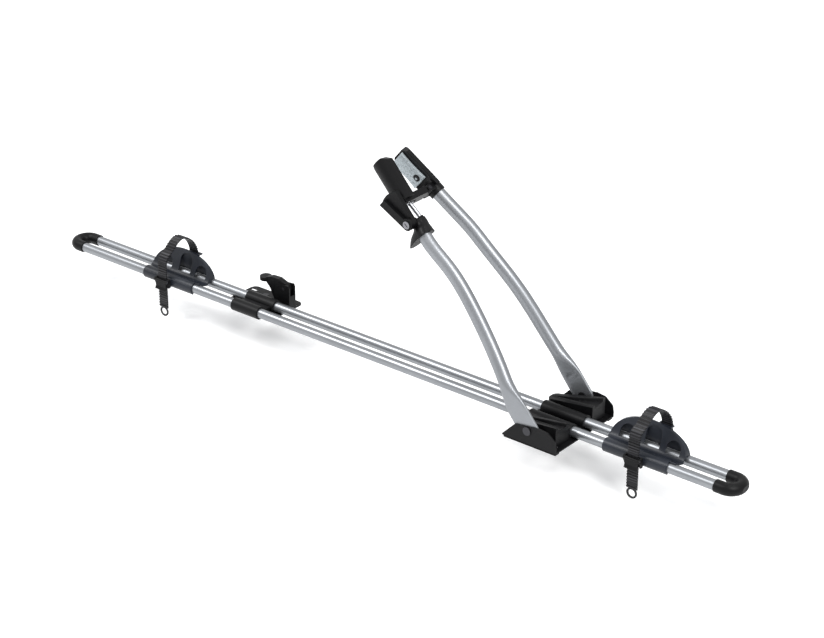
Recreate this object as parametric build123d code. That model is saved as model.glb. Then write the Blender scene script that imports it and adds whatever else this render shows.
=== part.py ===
"""Roof mounted bike carrier: two rails, a folding frame holder, two wheel trays and a roof bar bracket.

The origin is the middle of the underside of the foot's steel bracket. +X runs along the rails towards
the near end, +Y to the back and +Z up. Lengths are in millimetres and angles in degrees.
"""

import os
from math import atan2, cos, degrees, pi, radians, sin, sqrt, tan

from build123d import *

# Fits shared by all pieces
RUNNING_GAP = 0.05
LOOSE_GAP = 0.3
OVERRUN = 2.0

# Rails and end caps
RAIL_D = 18.0
RAIL_WALL = 1.5
RAIL_SPACING = 38.5
RAIL_LEFT_X = -1109.5
RAIL_RIGHT_X = 330.0
CAP_D = 21.6
CAP_SLEEVE_LENGTH = 14.0
CAP_PLUG_LENGTH = 28.0
CAP_FACET = 1.4

# Foot
FOOT_LENGTH = 108.0
FOOT_SHEET = 2.2
SLEEVE_FLOOR = 1.0
SIDE_PLATE_Y = 79.8
SIDE_PLATE_HEIGHT = 35.0
SIDE_PLATE_NOSE_HEIGHT = 21.0
SIDE_PLATE_CREST_X = 20.0
SIDE_PLATE_RAMP_X = -29.0
SIDE_PLATE_RAMP_Z = 28.0
SLEEVE_LENGTH = 85.0
SLEEVE_D = 25.0
WEB_WIDTH = 24.0
WEB_THICKNESS = 6.0
GUSSET_INNER_Y = 33.5
GUSSET_NARROW_Y = 57.0
GUSSET_WIDE_Y = 69.5
GUSSET_LEFT_X = -49.0
GUSSET_RIGHT_X = 44.0
GUSSET_LEFT_Z = 21.0
GUSSET_RIGHT_Z = 39.0
GUSSET_WALL = 3.0
GUSSET_CORNER_R = 9.0
RIDGE_D = 4.0
RIDGE_RISE = 0.6
PAD_THICKNESS = 4.0
PAD_LENGTH = 104.0
PAD_WIDTH = 11.0
PAD_Y = 75.0
SCREW_D = 5.0
SCREW_HEAD_D = 9.0
SCREW_HEAD_HEIGHT = 3.0
SADDLE_SCREW_SPACING = 50.0
GUSSET_SCREW_X = 30.0
GUSSET_SCREW_Y = 42.0
BAR_BOLT_D = 8.4
BAR_BOLT_SPACING_X = 80.0
BAR_BOLT_SPACING_Y = 124.0

# Arms
PIVOT_X = -4.0
PIVOT_RISE = 11.0
PIVOT_PIN_D = 8.0
PIVOT_HEAD_D = 15.0
PIVOT_HEAD_HEIGHT = 2.0
ARM_WIDTH = 25.0
ARM_DEPTH = 22.0
ARM_WALL = 1.8
PADDLE_WIDTH = 40.0
PADDLE_THICKNESS = 6.0
PADDLE_Y = 76.5
PADDLE_ANGLE = 50.5
PADDLE_RUN = 34.0
DIMPLE_X = -32.0
DIMPLE_RISE = 38.4
DIMPLE_R = 9.0
DIMPLE_DEPTH = 1.6
# Width, depth and squareness of the arm's section, step by step up from the paddle
ARM_STEP = 12.5
ARM_FLARE = (
    (PADDLE_WIDTH, PADDLE_THICKNESS, 5.0),
    (38.5, 8.5, 4.0),
    (34.0, 14.0, 3.0),
    (28.5, 19.5, 2.4),
    (ARM_WIDTH, ARM_DEPTH, 2.0),
)
ARM_HOLLOW_STEP = 3
# Bends of the arm's centre line: x, y and rise above the rails
ARM_BENDS = (
    (-78.0, 64.0, 90.6),
    (-143.4, 54.3, 175.3),
    (-198.0, 51.8, 236.5),
)
ARM_SECTION_POINTS = 16

# Head of the frame holder: its own frame has x down the arms and z square to them
HEAD_X = -275.8
HEAD_RISE = 303.1
HEAD_ANGLE = 39.65
HEAD_LEAN = 8.5
HEAD_Y = 42.4
ARM_TOP_RUN = 50.0
REAR_ARM_END = 30.0
FRONT_ARM_END = -25.0

# Jaws
JAW_BOTTOM = 26.0
JAW_TOP = 108.0
JAW_HALF_WIDTH = 20.5
JAW_BACK = 10.0
JAW_LIP = 9.0
JAW_HOLLOW_R = 45.0
JAW_HOLLOW_DEPTH = 5.0
JAW_TIP_R = 9.0
JAW_RIB_WIDTH = 3.0
JAW_RIB_HEIGHT = 1.2
JAW_RIBS = (42.0, 52.0, 62.0)
COLLAR_BOTTOM = 14.0
COLLAR_TOP = 40.0
COLLAR_WALL = 2.6
JAW_PAD_BOTTOM = 50.0
JAW_PAD_THICKNESS = 5.0
JAW_PAD_LOW = -19.5
JAW_PAD_HIGH = 11.0
PAD_SCREW_UP = 57.0
PAD_SCREW_Z = -4.0
PAD_SCREW_D = 4.0
PAD_SCREW_HEAD_D = 8.0
PAD_SCREW_HEAD_HEIGHT = 2.5
PAD_SCREW_LENGTH = 12.0
HINGE_UP = 26.0
HINGE_Y = 20.0
HINGE_D = 7.0
KNUCKLE_D = 13.0
TONGUE_HALF = 6.7
LUG_THICKNESS = 6.0
BRIDGE_THICKNESS = 12.0
BRIDGE_HALF_WIDTH = 12.0
BRIDGE_INNER_Y = 11.5
BRIDGE_OUTER_Y = -46.5

# Clamp rod
ROD_D = 8.0
ROD_Y = -29.0
ROD_Z = -1.0
ROD_BOTTOM = -17.0
CROSS_PIN_UP = 24.0
CROSS_PIN_D = 5.0
CROSS_PIN_HALF_LENGTH = 11.0
EYE_SLOT_LENGTH = 11.3
EYE_SLOT_WIDTH = 6.0
EYE_SLOT_Y = -26.3
EYE_WALL = 2.6
POCKET_OUTER_Y = -41.5
POCKET_INNER_Y = -14.0
POCKET_TOP = 32.5
ROD_CHANNEL_BOTTOM = -39.5

# Lever housing on the front arm
HOUSING_BOTTOM = -42.0
HOUSING_COLLAR_TOP = -24.0
HOUSING_TOP = -9.0
HOUSING_WALL = 3.0
HOUSING_OUTER_Y = -48.0
HOUSING_INNER_Y = -23.0
HOUSING_HALF_WIDTH = 14.0
CHEEK_THICKNESS = 7.0
CHEEK_R = 7.0
GUIDE_D = 13.0
TAIL_TIP_X = 41.0
TAIL_TIP_Z = -36.0
TAIL_ROOT_X = 27.0
TAIL_ROOT_Z = -10.0
TAIL_Y = (-56.0, -46.0)
TAIL_SAG = 5.0

# Clamp lever and lock
LEVER_X = 10.0
LEVER_Z = -4.0
LEVER_PIN_D = 7.0
LEVER_PIN_HEAD_D = 11.0
LEVER_PIN_HEAD_HEIGHT = 2.0
LEVER_GRIP = 4.1
LEVER_THICKNESS = 8.7
LEVER_BAR_THICKNESS = 14.7
LEVER_HUB_D = 21.0
# Lever outline: x, z
LEVER_FOOT_RIGHT = (12.0, 6.2)
LEVER_HEAD_RIGHT = (-44.0, 15.0)
LEVER_HEAD_CROWN = (-51.0, -6.0)
LEVER_HEAD_LEFT = (-47.0, -26.0)
LEVER_FOOT_LEFT = (12.0, -14.2)
LEVER_BAR_WIDTH = 14.0
LOCK_D = 13.4
LOCK_LENGTH = 10.5
LOCK_PROUD = 2.0
KEYWAY_LENGTH = 8.0
KEYWAY_WIDTH = 1.6
KEYWAY_DEPTH = 3.0

# Wheel trays
TRAY_LEFT_X = -942.0
TRAY_RIGHT_X = 103.0
CLIP_LENGTH = 128.0
CLIP_D = 24.0
CLIP_MOUTH = 11.0
RIDGE_ON_CLIP_D = 2.6
SCOOP_R = 14.0
SCOOP_X = 133.0
WING_START_X = -9.0
WING_END_X = 140.0
WING_ARC_X = 65.5
WING_ARC_R = 86.0
WING_CROWN = 48.0
WING_SILL = -8.0
WING_WALL = 2.5
WING_BACK_Y = 33.5
WING_TOP_Y = 20.0
WING_ROOT_Y = 3.0
WING_ROOT_Z = 3.0
WING_TOE_Y = 0.5
WING_TOE_Z = -2.0
RIM_BEAD = 4.0
DISH_DEPTH = 1.5
TROUGH_LOW_Y = -3.0
TROUGH_LOW_Z = 3.2
TROUGH_WALL = 2.8
# Windows of the wing: start x, end x, sill and head
WINDOWS = ((13.0, 39.0, 2.0, 32.0), (59.0, 94.0, 9.0, 43.0), (101.0, 129.0, 10.0, 29.0))
WINDOW_R = 9.0
RIM_SLOT = (72.0, 118.0)
RIM_SLOT_Y = (23.0, 30.8)
STRAP_GUARD = (81.0, 110.0)
STRAP_GUARD_Z = (33.0, 47.0)
STRAP_GUARD_DEPTH = 1.8
HOOK_X = ((18.0, 48.0), (88.0, 118.0))
HOOK_REACH_Y = 13.0
HOOK_THICKNESS = 2.4
BUCKLE_SEAT_Y = -32.2
BUCKLE_SEAT_DEPTH = 6.0

# Straps and buckles
STRAP_WIDTH = 20.0
STRAP_THICKNESS = 1.7
TOOTH_HEIGHT = 0.9
TOOTH_PITCH = 5.0
STRAP_FRONT_X = 69.0
STRAP_REAR_X = 88.5
STRAP_FRONT_Y = -35.4
STRAP_RUN_TOP = 12.0
STRAP_RUN_BOTTOM = -52.0
# Strap loop over the wheel: y and height above the rails, from the anchor to the buckle
STRAP_LOOP = ((28.2, 42.0), (20.0, 69.0), (1.0, 81.0), (-22.0, 59.0))
STRAP_END_RING_D = 20.0
STRAP_END_HOLE_D = 13.0
STRAP_END_Z = -60.0
ANCHOR_D = 4.0
ANCHOR_EYE_D = 8.0
ANCHOR_Y = 26.3
ANCHOR_Z = 15.5
ANCHOR_LENGTH = 30.0
LUG_WIDTH = 2.8
BUCKLE_WIDTH = 32.0
BUCKLE_HEIGHT = 17.0
BUCKLE_CENTRE_Z = -0.5
BUCKLE_DEPTH = 9.0
BUCKLE_CHEEK = 3.0
BUCKLE_PIN_D = 2.4
BUCKLE_PIN_Y = -40.0
BUCKLE_PIN_Z = 4.0
BUCKLE_EAR_D = 5.4
BUCKLE_LEVER_DROP = 17.0
BUCKLE_LEVER_THICKNESS = 3.2
BUCKLE_TONGUE_FLARE = 2.6

# Roof bar bracket
BRACKET_CLIP_X = (-707.0, -645.0)
BRACKET_SLEEVE_X = (-707.0, -640.0)
BRACKET_CLIP_D = 24.0
BRACKET_SLEEVE_D = 24.6
BRACKET_WEB_THICKNESS = 5.0
BRACKET_PLATE_X = (-746.5, -626.0)
BRACKET_PLATE_Y = (-8.0, 77.0)
BRACKET_PLATE_R = 12.0
BRACKET_FLANGE_THICKNESS = 5.0
BRACKET_SLOT_X = 49.0
BRACKET_SLOT_Y = 63.0
BRACKET_SLOT_LENGTH = 15.0
BRACKET_SLOT_WIDTH = 6.6
BRACKET_LEVER_Y = (41.3, 51.7)
BRACKET_CHEEK = 3.0
BRACKET_CHEEK_X = (-664.0, -626.0)
BRACKET_CHEEK_RISE = 37.0
BRACKET_HINGE_X = -641.0
BRACKET_HINGE_RISE = 28.0
BRACKET_PIN_D = 6.0
BRACKET_HUB_D = 20.0
BRACKET_TAB_X = -690.0
BRACKET_TAB_RISE = 34.0
BRACKET_TAB_D = 15.0
BRACKET_TAB_THICKNESS = 7.0
BRACKET_TAB_WIDTH = 22.0
BRACKET_BACK = ((-655.0, 43.0), (-674.0, 42.0))
BRACKET_LEG = ((-676.0, 20.0), (-667.0, 2.0), (-658.0, 1.0), (-664.0, 17.0), (-662.0, 24.0))
BRACKET_BOLT_D = 6.0
BRACKET_BOLT_HEAD_D = 12.0
BRACKET_BOLT_HEAD_HEIGHT = 3.5
BRACKET_BOLT_LENGTH = 26.0
BRACKET_BOLT_X = -692.0

RAIL_AXIS_Z = FOOT_SHEET + SLEEVE_FLOOR + RAIL_D / 2
RAIL_Y = RAIL_SPACING / 2
PIVOT_Z = RAIL_AXIS_Z + PIVOT_RISE
HEAD_Z = RAIL_AXIS_Z + HEAD_RISE
RUNNING_RAIL_D = RAIL_D + 2 * RUNNING_GAP


def box(x, y, z):
    """Block between the pairs of limits x, y and z."""
    size = (x[1] - x[0], y[1] - y[0], z[1] - z[0])
    centre = ((x[0] + x[1]) / 2, (y[0] + y[1]) / 2, (z[0] + z[1]) / 2)
    return Pos(*centre) * Box(*size)


def rod_x(diameter, start, end, y, z):
    """Cylinder along X."""
    disc = Plane(origin=(start, y, z), x_dir=(0, 1, 0), z_dir=(1, 0, 0)) * Circle(diameter / 2)
    return extrude(disc, amount=end - start)


def rod_y(diameter, start, end, x, z):
    """Cylinder along Y."""
    disc = Plane(origin=(x, start, z), x_dir=(1, 0, 0), z_dir=(0, 1, 0)) * Circle(diameter / 2)
    return extrude(disc, amount=end - start)


def rod_z(diameter, start, end, x, y):
    """Cylinder along Z."""
    return extrude(Pos(x, y, start) * Circle(diameter / 2), amount=end - start)


def side_face(outline, y):
    """Face in the XZ plane at y from a sketch drawn in x and z."""
    return Plane(origin=(0, y, 0), x_dir=(1, 0, 0), z_dir=(0, -1, 0)) * outline


def side_prism(outline, y):
    """Prism between the pair of limits y from a sketch drawn in x and z."""
    return extrude(side_face(outline, y[1]), amount=y[1] - y[0])


def end_prism(outline, x):
    """Prism between the pair of limits x from a sketch drawn in y and z."""
    face = Plane(origin=(x[0], 0, 0), x_dir=(0, 1, 0), z_dir=(1, 0, 0)) * outline
    return extrude(face, amount=x[1] - x[0])


def polygon(*points):
    """Closed sketch through the points."""
    return make_face(Polyline(*points, close=True))


# Rails and end caps
def rail(y):
    """One drawn tube."""
    outer = rod_x(RAIL_D, RAIL_LEFT_X, RAIL_RIGHT_X, y, RAIL_AXIS_Z)
    inner = rod_x(
        RAIL_D - 2 * RAIL_WALL, RAIL_LEFT_X - OVERRUN, RAIL_RIGHT_X + OVERRUN, y, RAIL_AXIS_Z
    )
    return outer - inner


def end_cap():
    """U-shaped cap for the near end, with its bend centre at the origin."""
    disc = Plane(origin=(0, RAIL_Y, 0), x_dir=(0, 1, 0), z_dir=(-1, 0, 0)) * Circle(CAP_D / 2)
    bend = revolve(disc, axis=Axis.Z, revolution_arc=-180)
    tip = RAIL_Y + CAP_D / 2
    bend -= box((tip - CAP_FACET, tip + OVERRUN), (-tip, tip), (-tip, tip))
    cap = bend
    for y in (-RAIL_Y, RAIL_Y):
        sleeve = rod_x(CAP_D, -CAP_SLEEVE_LENGTH, 0, y, 0)
        bore = rod_x(RAIL_D, -CAP_SLEEVE_LENGTH - OVERRUN, 0, y, 0)
        cap += sleeve - bore
        cap += rod_x(RAIL_D - 2 * RAIL_WALL, -CAP_PLUG_LENGTH, OVERRUN, y, 0)
    lower = -CAP_SLEEVE_LENGTH - OVERRUN
    slant = polygon((lower, 0), (-CAP_SLEEVE_LENGTH + OVERRUN, -CAP_D / 2), (lower, -CAP_D / 2))
    for y in (-RAIL_Y, RAIL_Y):
        limits = (y - CAP_D / 2, y + CAP_D / 2)
        cap -= side_prism(slant, limits) - rod_x(RAIL_D, lower - OVERRUN, 0, y, 0)
    return cap


# Foot
def foot_bracket():
    """Steel bracket: base with bolt holes and two side plates."""
    half = FOOT_LENGTH / 2
    outer = SIDE_PLATE_Y + FOOT_SHEET
    bracket = box((-half, half), (-outer, outer), (0, FOOT_SHEET))
    outline = polygon(
        (-half, 0),
        (half, 0),
        (half, SIDE_PLATE_NOSE_HEIGHT / 2),
        (half - OVERRUN, SIDE_PLATE_NOSE_HEIGHT),
        (SIDE_PLATE_CREST_X + (half - SIDE_PLATE_CREST_X) / 2, SIDE_PLATE_HEIGHT - OVERRUN),
        (SIDE_PLATE_CREST_X, SIDE_PLATE_HEIGHT),
        (SIDE_PLATE_RAMP_X, SIDE_PLATE_RAMP_Z),
        (-half, FOOT_SHEET),
    )
    for y in ((-outer, -SIDE_PLATE_Y), (SIDE_PLATE_Y, outer)):
        bracket += side_prism(outline, y)
    for x in (-1, 1):
        for y in (-1, 1):
            place = (x * BAR_BOLT_SPACING_X / 2, y * BAR_BOLT_SPACING_Y / 2)
            bracket -= rod_z(BAR_BOLT_D, -OVERRUN, FOOT_SHEET + OVERRUN, *place)
    for y in (-1, 1):
        limits = sorted((y * (SIDE_PLATE_Y - OVERRUN), y * (outer + OVERRUN)))
        bracket -= rod_y(PIVOT_PIN_D, *limits, PIVOT_X, PIVOT_Z)
        bracket -= rod_z(SCREW_D, -OVERRUN, FOOT_SHEET + OVERRUN, GUSSET_SCREW_X, y * GUSSET_SCREW_Y)
    for x in (-1, 1):
        bracket -= rod_z(SCREW_D, -OVERRUN, FOOT_SHEET + OVERRUN, x * SADDLE_SCREW_SPACING / 2, 0)
    return bracket


def foot_saddle():
    """Plastic saddle: a sleeve on each rail and a web between them."""
    half = SLEEVE_LENGTH / 2
    saddle = box((-half, half), (-RAIL_Y, RAIL_Y), (FOOT_SHEET, FOOT_SHEET + WEB_THICKNESS))
    for y in (-RAIL_Y, RAIL_Y):
        saddle += rod_x(SLEEVE_D, -half, half, y, RAIL_AXIS_Z)
        saddle += box(
            (-half, half),
            (y - SLEEVE_D / 2, y + SLEEVE_D / 2),
            (FOOT_SHEET, FOOT_SHEET + WEB_THICKNESS),
        )
    for y in (-RAIL_Y, RAIL_Y):
        saddle -= rod_x(RAIL_D, -half - OVERRUN, half + OVERRUN, y, RAIL_AXIS_Z)
    saddle &= box(
        (-half, half), (-RAIL_Y - SLEEVE_D, RAIL_Y + SLEEVE_D), (FOOT_SHEET, RAIL_AXIS_Z + SLEEVE_D)
    )
    for x in (-1, 1):
        saddle -= rod_z(SCREW_D, 0, FOOT_SHEET + SLEEVE_D, x * SADDLE_SCREW_SPACING / 2, 0)
    return saddle


def gusset():
    """Ribbed wedge beside the rear arm."""
    slope = atan2(GUSSET_RIGHT_Z - GUSSET_LEFT_Z, GUSSET_RIGHT_X - GUSSET_LEFT_X)

    def body(inset, floor):
        plan = polygon(
            (GUSSET_LEFT_X + inset, GUSSET_INNER_Y + inset),
            (GUSSET_RIGHT_X - inset, GUSSET_INNER_Y + inset),
            (GUSSET_RIGHT_X - inset, GUSSET_WIDE_Y - inset),
            (GUSSET_LEFT_X + 2 * GUSSET_CORNER_R, GUSSET_NARROW_Y - inset),
            (GUSSET_LEFT_X + inset, GUSSET_NARROW_Y - inset),
        )
        block = extrude(Pos(0, 0, floor) * plan, amount=GUSSET_RIGHT_Z)
        profile = polygon(
            (GUSSET_LEFT_X, floor),
            (GUSSET_RIGHT_X, floor),
            (GUSSET_RIGHT_X, GUSSET_RIGHT_Z - inset),
            (GUSSET_LEFT_X, GUSSET_LEFT_Z - inset),
        )
        return block & side_prism(profile, (0, GUSSET_WIDE_Y + OVERRUN))

    outer = body(0, FOOT_SHEET)
    corners = [e for e in outer.edges().filter_by(Axis.Z) if e.center().X < GUSSET_LEFT_X + OVERRUN]
    outer = fillet(corners, GUSSET_CORNER_R)
    wedge = outer - body(GUSSET_WALL, FOOT_SHEET - OVERRUN)
    apex = (GUSSET_LEFT_X + GUSSET_CORNER_R, (GUSSET_INNER_Y + GUSSET_NARROW_Y) / 2)
    for y in (GUSSET_INNER_Y + RIDGE_D, (GUSSET_INNER_Y + GUSSET_WIDE_Y) / 2, GUSSET_WIDE_Y - RIDGE_D):
        start = Vector(apex[0], apex[1], GUSSET_LEFT_Z + GUSSET_CORNER_R * tan(slope) - RIDGE_D / 2 + RIDGE_RISE)
        end = Vector(GUSSET_RIGHT_X - OVERRUN, y, GUSSET_RIGHT_Z - RIDGE_D / 2 + RIDGE_RISE)
        run = end - start
        ridge = extrude(Plane(origin=start, z_dir=run.normalized()) * Circle(RIDGE_D / 2), amount=run.length)
        wedge += ridge
    boss_d = SCREW_HEAD_D + 2 * GUSSET_WALL
    wedge += outer & rod_z(boss_d, FOOT_SHEET, GUSSET_RIGHT_Z, GUSSET_SCREW_X, GUSSET_SCREW_Y)
    well = rod_z(SCREW_HEAD_D, GUSSET_LEFT_Z, GUSSET_RIGHT_Z + OVERRUN, GUSSET_SCREW_X, GUSSET_SCREW_Y)
    wedge -= well
    wedge -= rod_z(SCREW_D, 0, GUSSET_RIGHT_Z, GUSSET_SCREW_X, GUSSET_SCREW_Y)
    return wedge


def foot_pad(y):
    """Rubber strip under a side plate."""
    return box(
        (-PAD_LENGTH / 2, PAD_LENGTH / 2),
        (y - PAD_WIDTH / 2, y + PAD_WIDTH / 2),
        (-PAD_THICKNESS, 0),
    )


def screw_z(x, y, seat):
    """Pan head screw that stands in the bracket's base."""
    shank = rod_z(SCREW_D, 0, seat, x, y)
    return shank + rod_z(SCREW_HEAD_D, seat, seat + SCREW_HEAD_HEIGHT, x, y)


def saddle_screws():
    """Screws between the rails."""
    seat = FOOT_SHEET + WEB_THICKNESS
    return [screw_z(x * SADDLE_SCREW_SPACING / 2, 0, seat) for x in (-1, 1)]


def pivot_pin():
    """Shouldered rivet of the rear arm."""
    outer = SIDE_PLATE_Y + FOOT_SHEET
    inner = PADDLE_Y - PADDLE_THICKNESS / 2 - LOOSE_GAP
    pin = rod_y(PIVOT_PIN_D, inner - PIVOT_HEAD_HEIGHT, outer, PIVOT_X, PIVOT_Z)
    pin += rod_y(PIVOT_HEAD_D, outer, outer + PIVOT_HEAD_HEIGHT, PIVOT_X, PIVOT_Z)
    pin += rod_y(PIVOT_HEAD_D, inner - PIVOT_HEAD_HEIGHT, inner, PIVOT_X, PIVOT_Z)
    return pin


# Arms
def oval(width, depth, power):
    """Superellipse sketch, width along its x."""
    points = []
    for i in range(ARM_SECTION_POINTS):
        angle = 2 * pi * (i + 1 / 2) / ARM_SECTION_POINTS
        c, s = cos(angle), sin(angle)
        x = width / 2 * abs(c) ** (2 / power) * (1 if c > 0 else -1)
        y = depth / 2 * abs(s) ** (2 / power) * (1 if s > 0 else -1)
        points.append((x, y))
    return make_face(Spline(*points, periodic=True))


def paddle_direction():
    """Direction up the flat paddle."""
    return Vector(-cos(radians(PADDLE_ANGLE)), 0, sin(radians(PADDLE_ANGLE)))


def top_direction():
    """Direction up the leaning top of the rear arm."""
    lean = radians(HEAD_LEAN)
    rise = radians(HEAD_ANGLE)
    return Vector(-cos(rise) * cos(lean), -sin(lean), sin(rise) * cos(lean))


def arm_path():
    """Centre line of the rear arm between its paddle and its straight top."""
    start = Vector(PIVOT_X, PADDLE_Y, PIVOT_Z) + paddle_direction() * PADDLE_RUN
    end = Vector(HEAD_X, HEAD_Y, HEAD_Z) - top_direction() * ARM_TOP_RUN
    bends = [Vector(x, y, z + RAIL_AXIS_Z) for x, y, z in ARM_BENDS]
    return Spline(start, *bends, end, tangents=(paddle_direction(), top_direction()))


def section_plane(origin, along):
    """Plane square to the arm with its x in the plane of the bend."""
    return Plane(origin=origin, x_dir=Vector(0, 1, 0).cross(along).normalized(), z_dir=along)


def arm_skin(inset, first, top):
    """Outside of the arm from one of its steps on, made smaller by inset."""
    path = arm_path()
    count = round(path.length / ARM_STEP)
    faces = []
    for i in range(first, count + 1):
        width, depth, power = ARM_FLARE[min(i, len(ARM_FLARE) - 1)]
        share = i / count
        plane = section_plane(path @ share, path % share)
        faces.append(plane * oval(width - 2 * inset, depth - 2 * inset, power))
    return loft(faces) + extrude(faces[-1], amount=ARM_TOP_RUN + top)


def arm(top):
    """Rear arm: flattened, pierced paddle and bent oval tube."""
    up = paddle_direction()
    root = Vector(PIVOT_X, PADDLE_Y, PIVOT_Z)
    plane = section_plane(root + up * PADDLE_RUN, up)
    paddle = extrude(plane * oval(*ARM_FLARE[0]), amount=-PADDLE_RUN - PADDLE_WIDTH)
    limits = (PADDLE_Y - PADDLE_WIDTH, PADDLE_Y + PADDLE_WIDTH)
    round_end = rod_y(PADDLE_WIDTH, *limits, PIVOT_X, PIVOT_Z)
    upper = Pos(*root) * Rot(0, PADDLE_ANGLE, 0) * box(
        (-PADDLE_RUN, 0), (-PADDLE_WIDTH, PADDLE_WIDTH), (-PADDLE_WIDTH, PADDLE_WIDTH)
    )
    paddle = (paddle & round_end) + (paddle & upper)
    piece = paddle + arm_skin(0, 0, top)
    piece -= arm_skin(ARM_WALL, ARM_HOLLOW_STEP, top + OVERRUN)
    piece -= rod_y(PIVOT_PIN_D + 2 * RUNNING_GAP, *limits, PIVOT_X, PIVOT_Z)
    ball_y = PADDLE_Y - PADDLE_THICKNESS / 2 - DIMPLE_R + DIMPLE_DEPTH
    piece -= Pos(DIMPLE_X, ball_y, RAIL_AXIS_Z + DIMPLE_RISE) * Sphere(DIMPLE_R)
    return piece


# Head
def at_head(piece):
    """Piece drawn in the head's frame, put in its place."""
    return Pos(HEAD_X, 0, HEAD_Z) * Rot(0, HEAD_ANGLE, 0) * piece


def leaned(piece, side):
    """Piece drawn along an arm's leaning top, in the head's frame."""
    return Pos(0, side * HEAD_Y, 0) * Rot(0, 0, side * HEAD_LEAN) * piece


def tube_oval(wall):
    """The arm's section with a wall round it, drawn in y and z."""
    return Rot(0, 0, 90) * oval(ARM_WIDTH + 2 * wall, ARM_DEPTH + 2 * wall, ARM_FLARE[-1][2])


def jaw_blade(bottom):
    """Blade of the rear jaw along its leaning axis, hollow towards -Y."""
    half = JAW_HALF_WIDTH
    back = make_face(
        [
            ThreePointArc((0, -half), (JAW_BACK, 0), (0, half)),
            Polyline((0, half), (-JAW_LIP, half), (-JAW_LIP, -half), (0, -half)),
        ]
    )
    blade = end_prism(back, (-JAW_TOP, -bottom))
    blade -= rod_x(2 * JAW_HOLLOW_R, -JAW_TOP - OVERRUN, -bottom + OVERRUN, -JAW_HOLLOW_DEPTH - JAW_HOLLOW_R, 0)
    front = polygon(
        (-JAW_TOP, half), (-JAW_TOP, half - JAW_TIP_R), (-JAW_TOP + JAW_TIP_R, half)
    )
    rear = polygon(
        (-JAW_TOP, -half), (-JAW_TOP, -half + JAW_TIP_R), (-JAW_TOP + JAW_TIP_R, -half)
    )
    for corner in (front, rear):
        blade -= side_prism(corner, (-half, half))
    return blade


def jaw_pad():
    """Rubber pad in the hollow of the rear jaw."""
    centre = -JAW_HOLLOW_DEPTH - JAW_HOLLOW_R
    top = -JAW_TOP + JAW_TIP_R / 2
    pad = rod_x(2 * JAW_HOLLOW_R, top, -JAW_PAD_BOTTOM, centre, 0)
    pad -= rod_x(2 * (JAW_HOLLOW_R - JAW_PAD_THICKNESS), top - OVERRUN, -JAW_PAD_BOTTOM + OVERRUN, centre, 0)
    pad &= box((top, -JAW_PAD_BOTTOM), (-JAW_HOLLOW_R, 0), (JAW_PAD_LOW, JAW_PAD_HIGH))
    return pad - pad_screw()


def pad_screw():
    """Countersunk screw of the pad."""
    face = -JAW_HOLLOW_DEPTH - JAW_PAD_THICKNESS
    head = (face, face + PAD_SCREW_HEAD_HEIGHT)
    screw = rod_y(PAD_SCREW_HEAD_D, *head, -PAD_SCREW_UP, PAD_SCREW_Z)
    return screw + rod_y(PAD_SCREW_D, face, face + PAD_SCREW_LENGTH, -PAD_SCREW_UP, PAD_SCREW_Z)


def rear_jaw():
    """Fixed jaw with its collar on the rear arm and the hinge lugs."""
    blade = jaw_blade(JAW_BOTTOM)
    for up in JAW_RIBS:
        half = JAW_HALF_WIDTH
        rib = make_face(
            [
                ThreePointArc((0, -half), (JAW_BACK + JAW_RIB_HEIGHT, 0), (0, half)),
                Polyline((0, half), (-JAW_RIB_HEIGHT, 0), (0, -half)),
            ]
        )
        blade += end_prism(rib, (-up - JAW_RIB_WIDTH, -up))
    collar = end_prism(tube_oval(COLLAR_WALL), (-COLLAR_TOP, -COLLAR_BOTTOM))
    jaw = leaned(blade + collar, 1)
    lug_z = TONGUE_HALF + LOOSE_GAP
    for z in ((-lug_z - LUG_THICKNESS, -lug_z), (lug_z, lug_z + LUG_THICKNESS)):
        lug = rod_z(KNUCKLE_D, *z, -HINGE_UP, HINGE_Y)
        lug += box(
            (-HINGE_UP - KNUCKLE_D / 2, -HINGE_UP + KNUCKLE_D / 2), (HINGE_Y, HEAD_Y - OVERRUN), z
        )
        jaw += lug
    jaw -= leaned(end_prism(tube_oval(0), (-REAR_ARM_END, 0)), 1)
    turning = KNUCKLE_D + 2 * LOOSE_GAP
    jaw -= rod_z(turning, -lug_z, lug_z, -HINGE_UP, HINGE_Y)
    jaw -= rod_z(HINGE_D, -HEAD_Y, HEAD_Y, -HINGE_UP, HINGE_Y)
    return jaw - leaned(pad_screw(), 1)


def jaw_hinge_pin():
    """Pin of the moving jaw."""
    reach = TONGUE_HALF + LOOSE_GAP + LUG_THICKNESS
    return rod_z(HINGE_D, -reach, reach, -HINGE_UP, HINGE_Y)


def mirrored(piece):
    """Piece mirrored from the rear to the front."""
    return mirror(piece, about=Plane.XZ)


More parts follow.
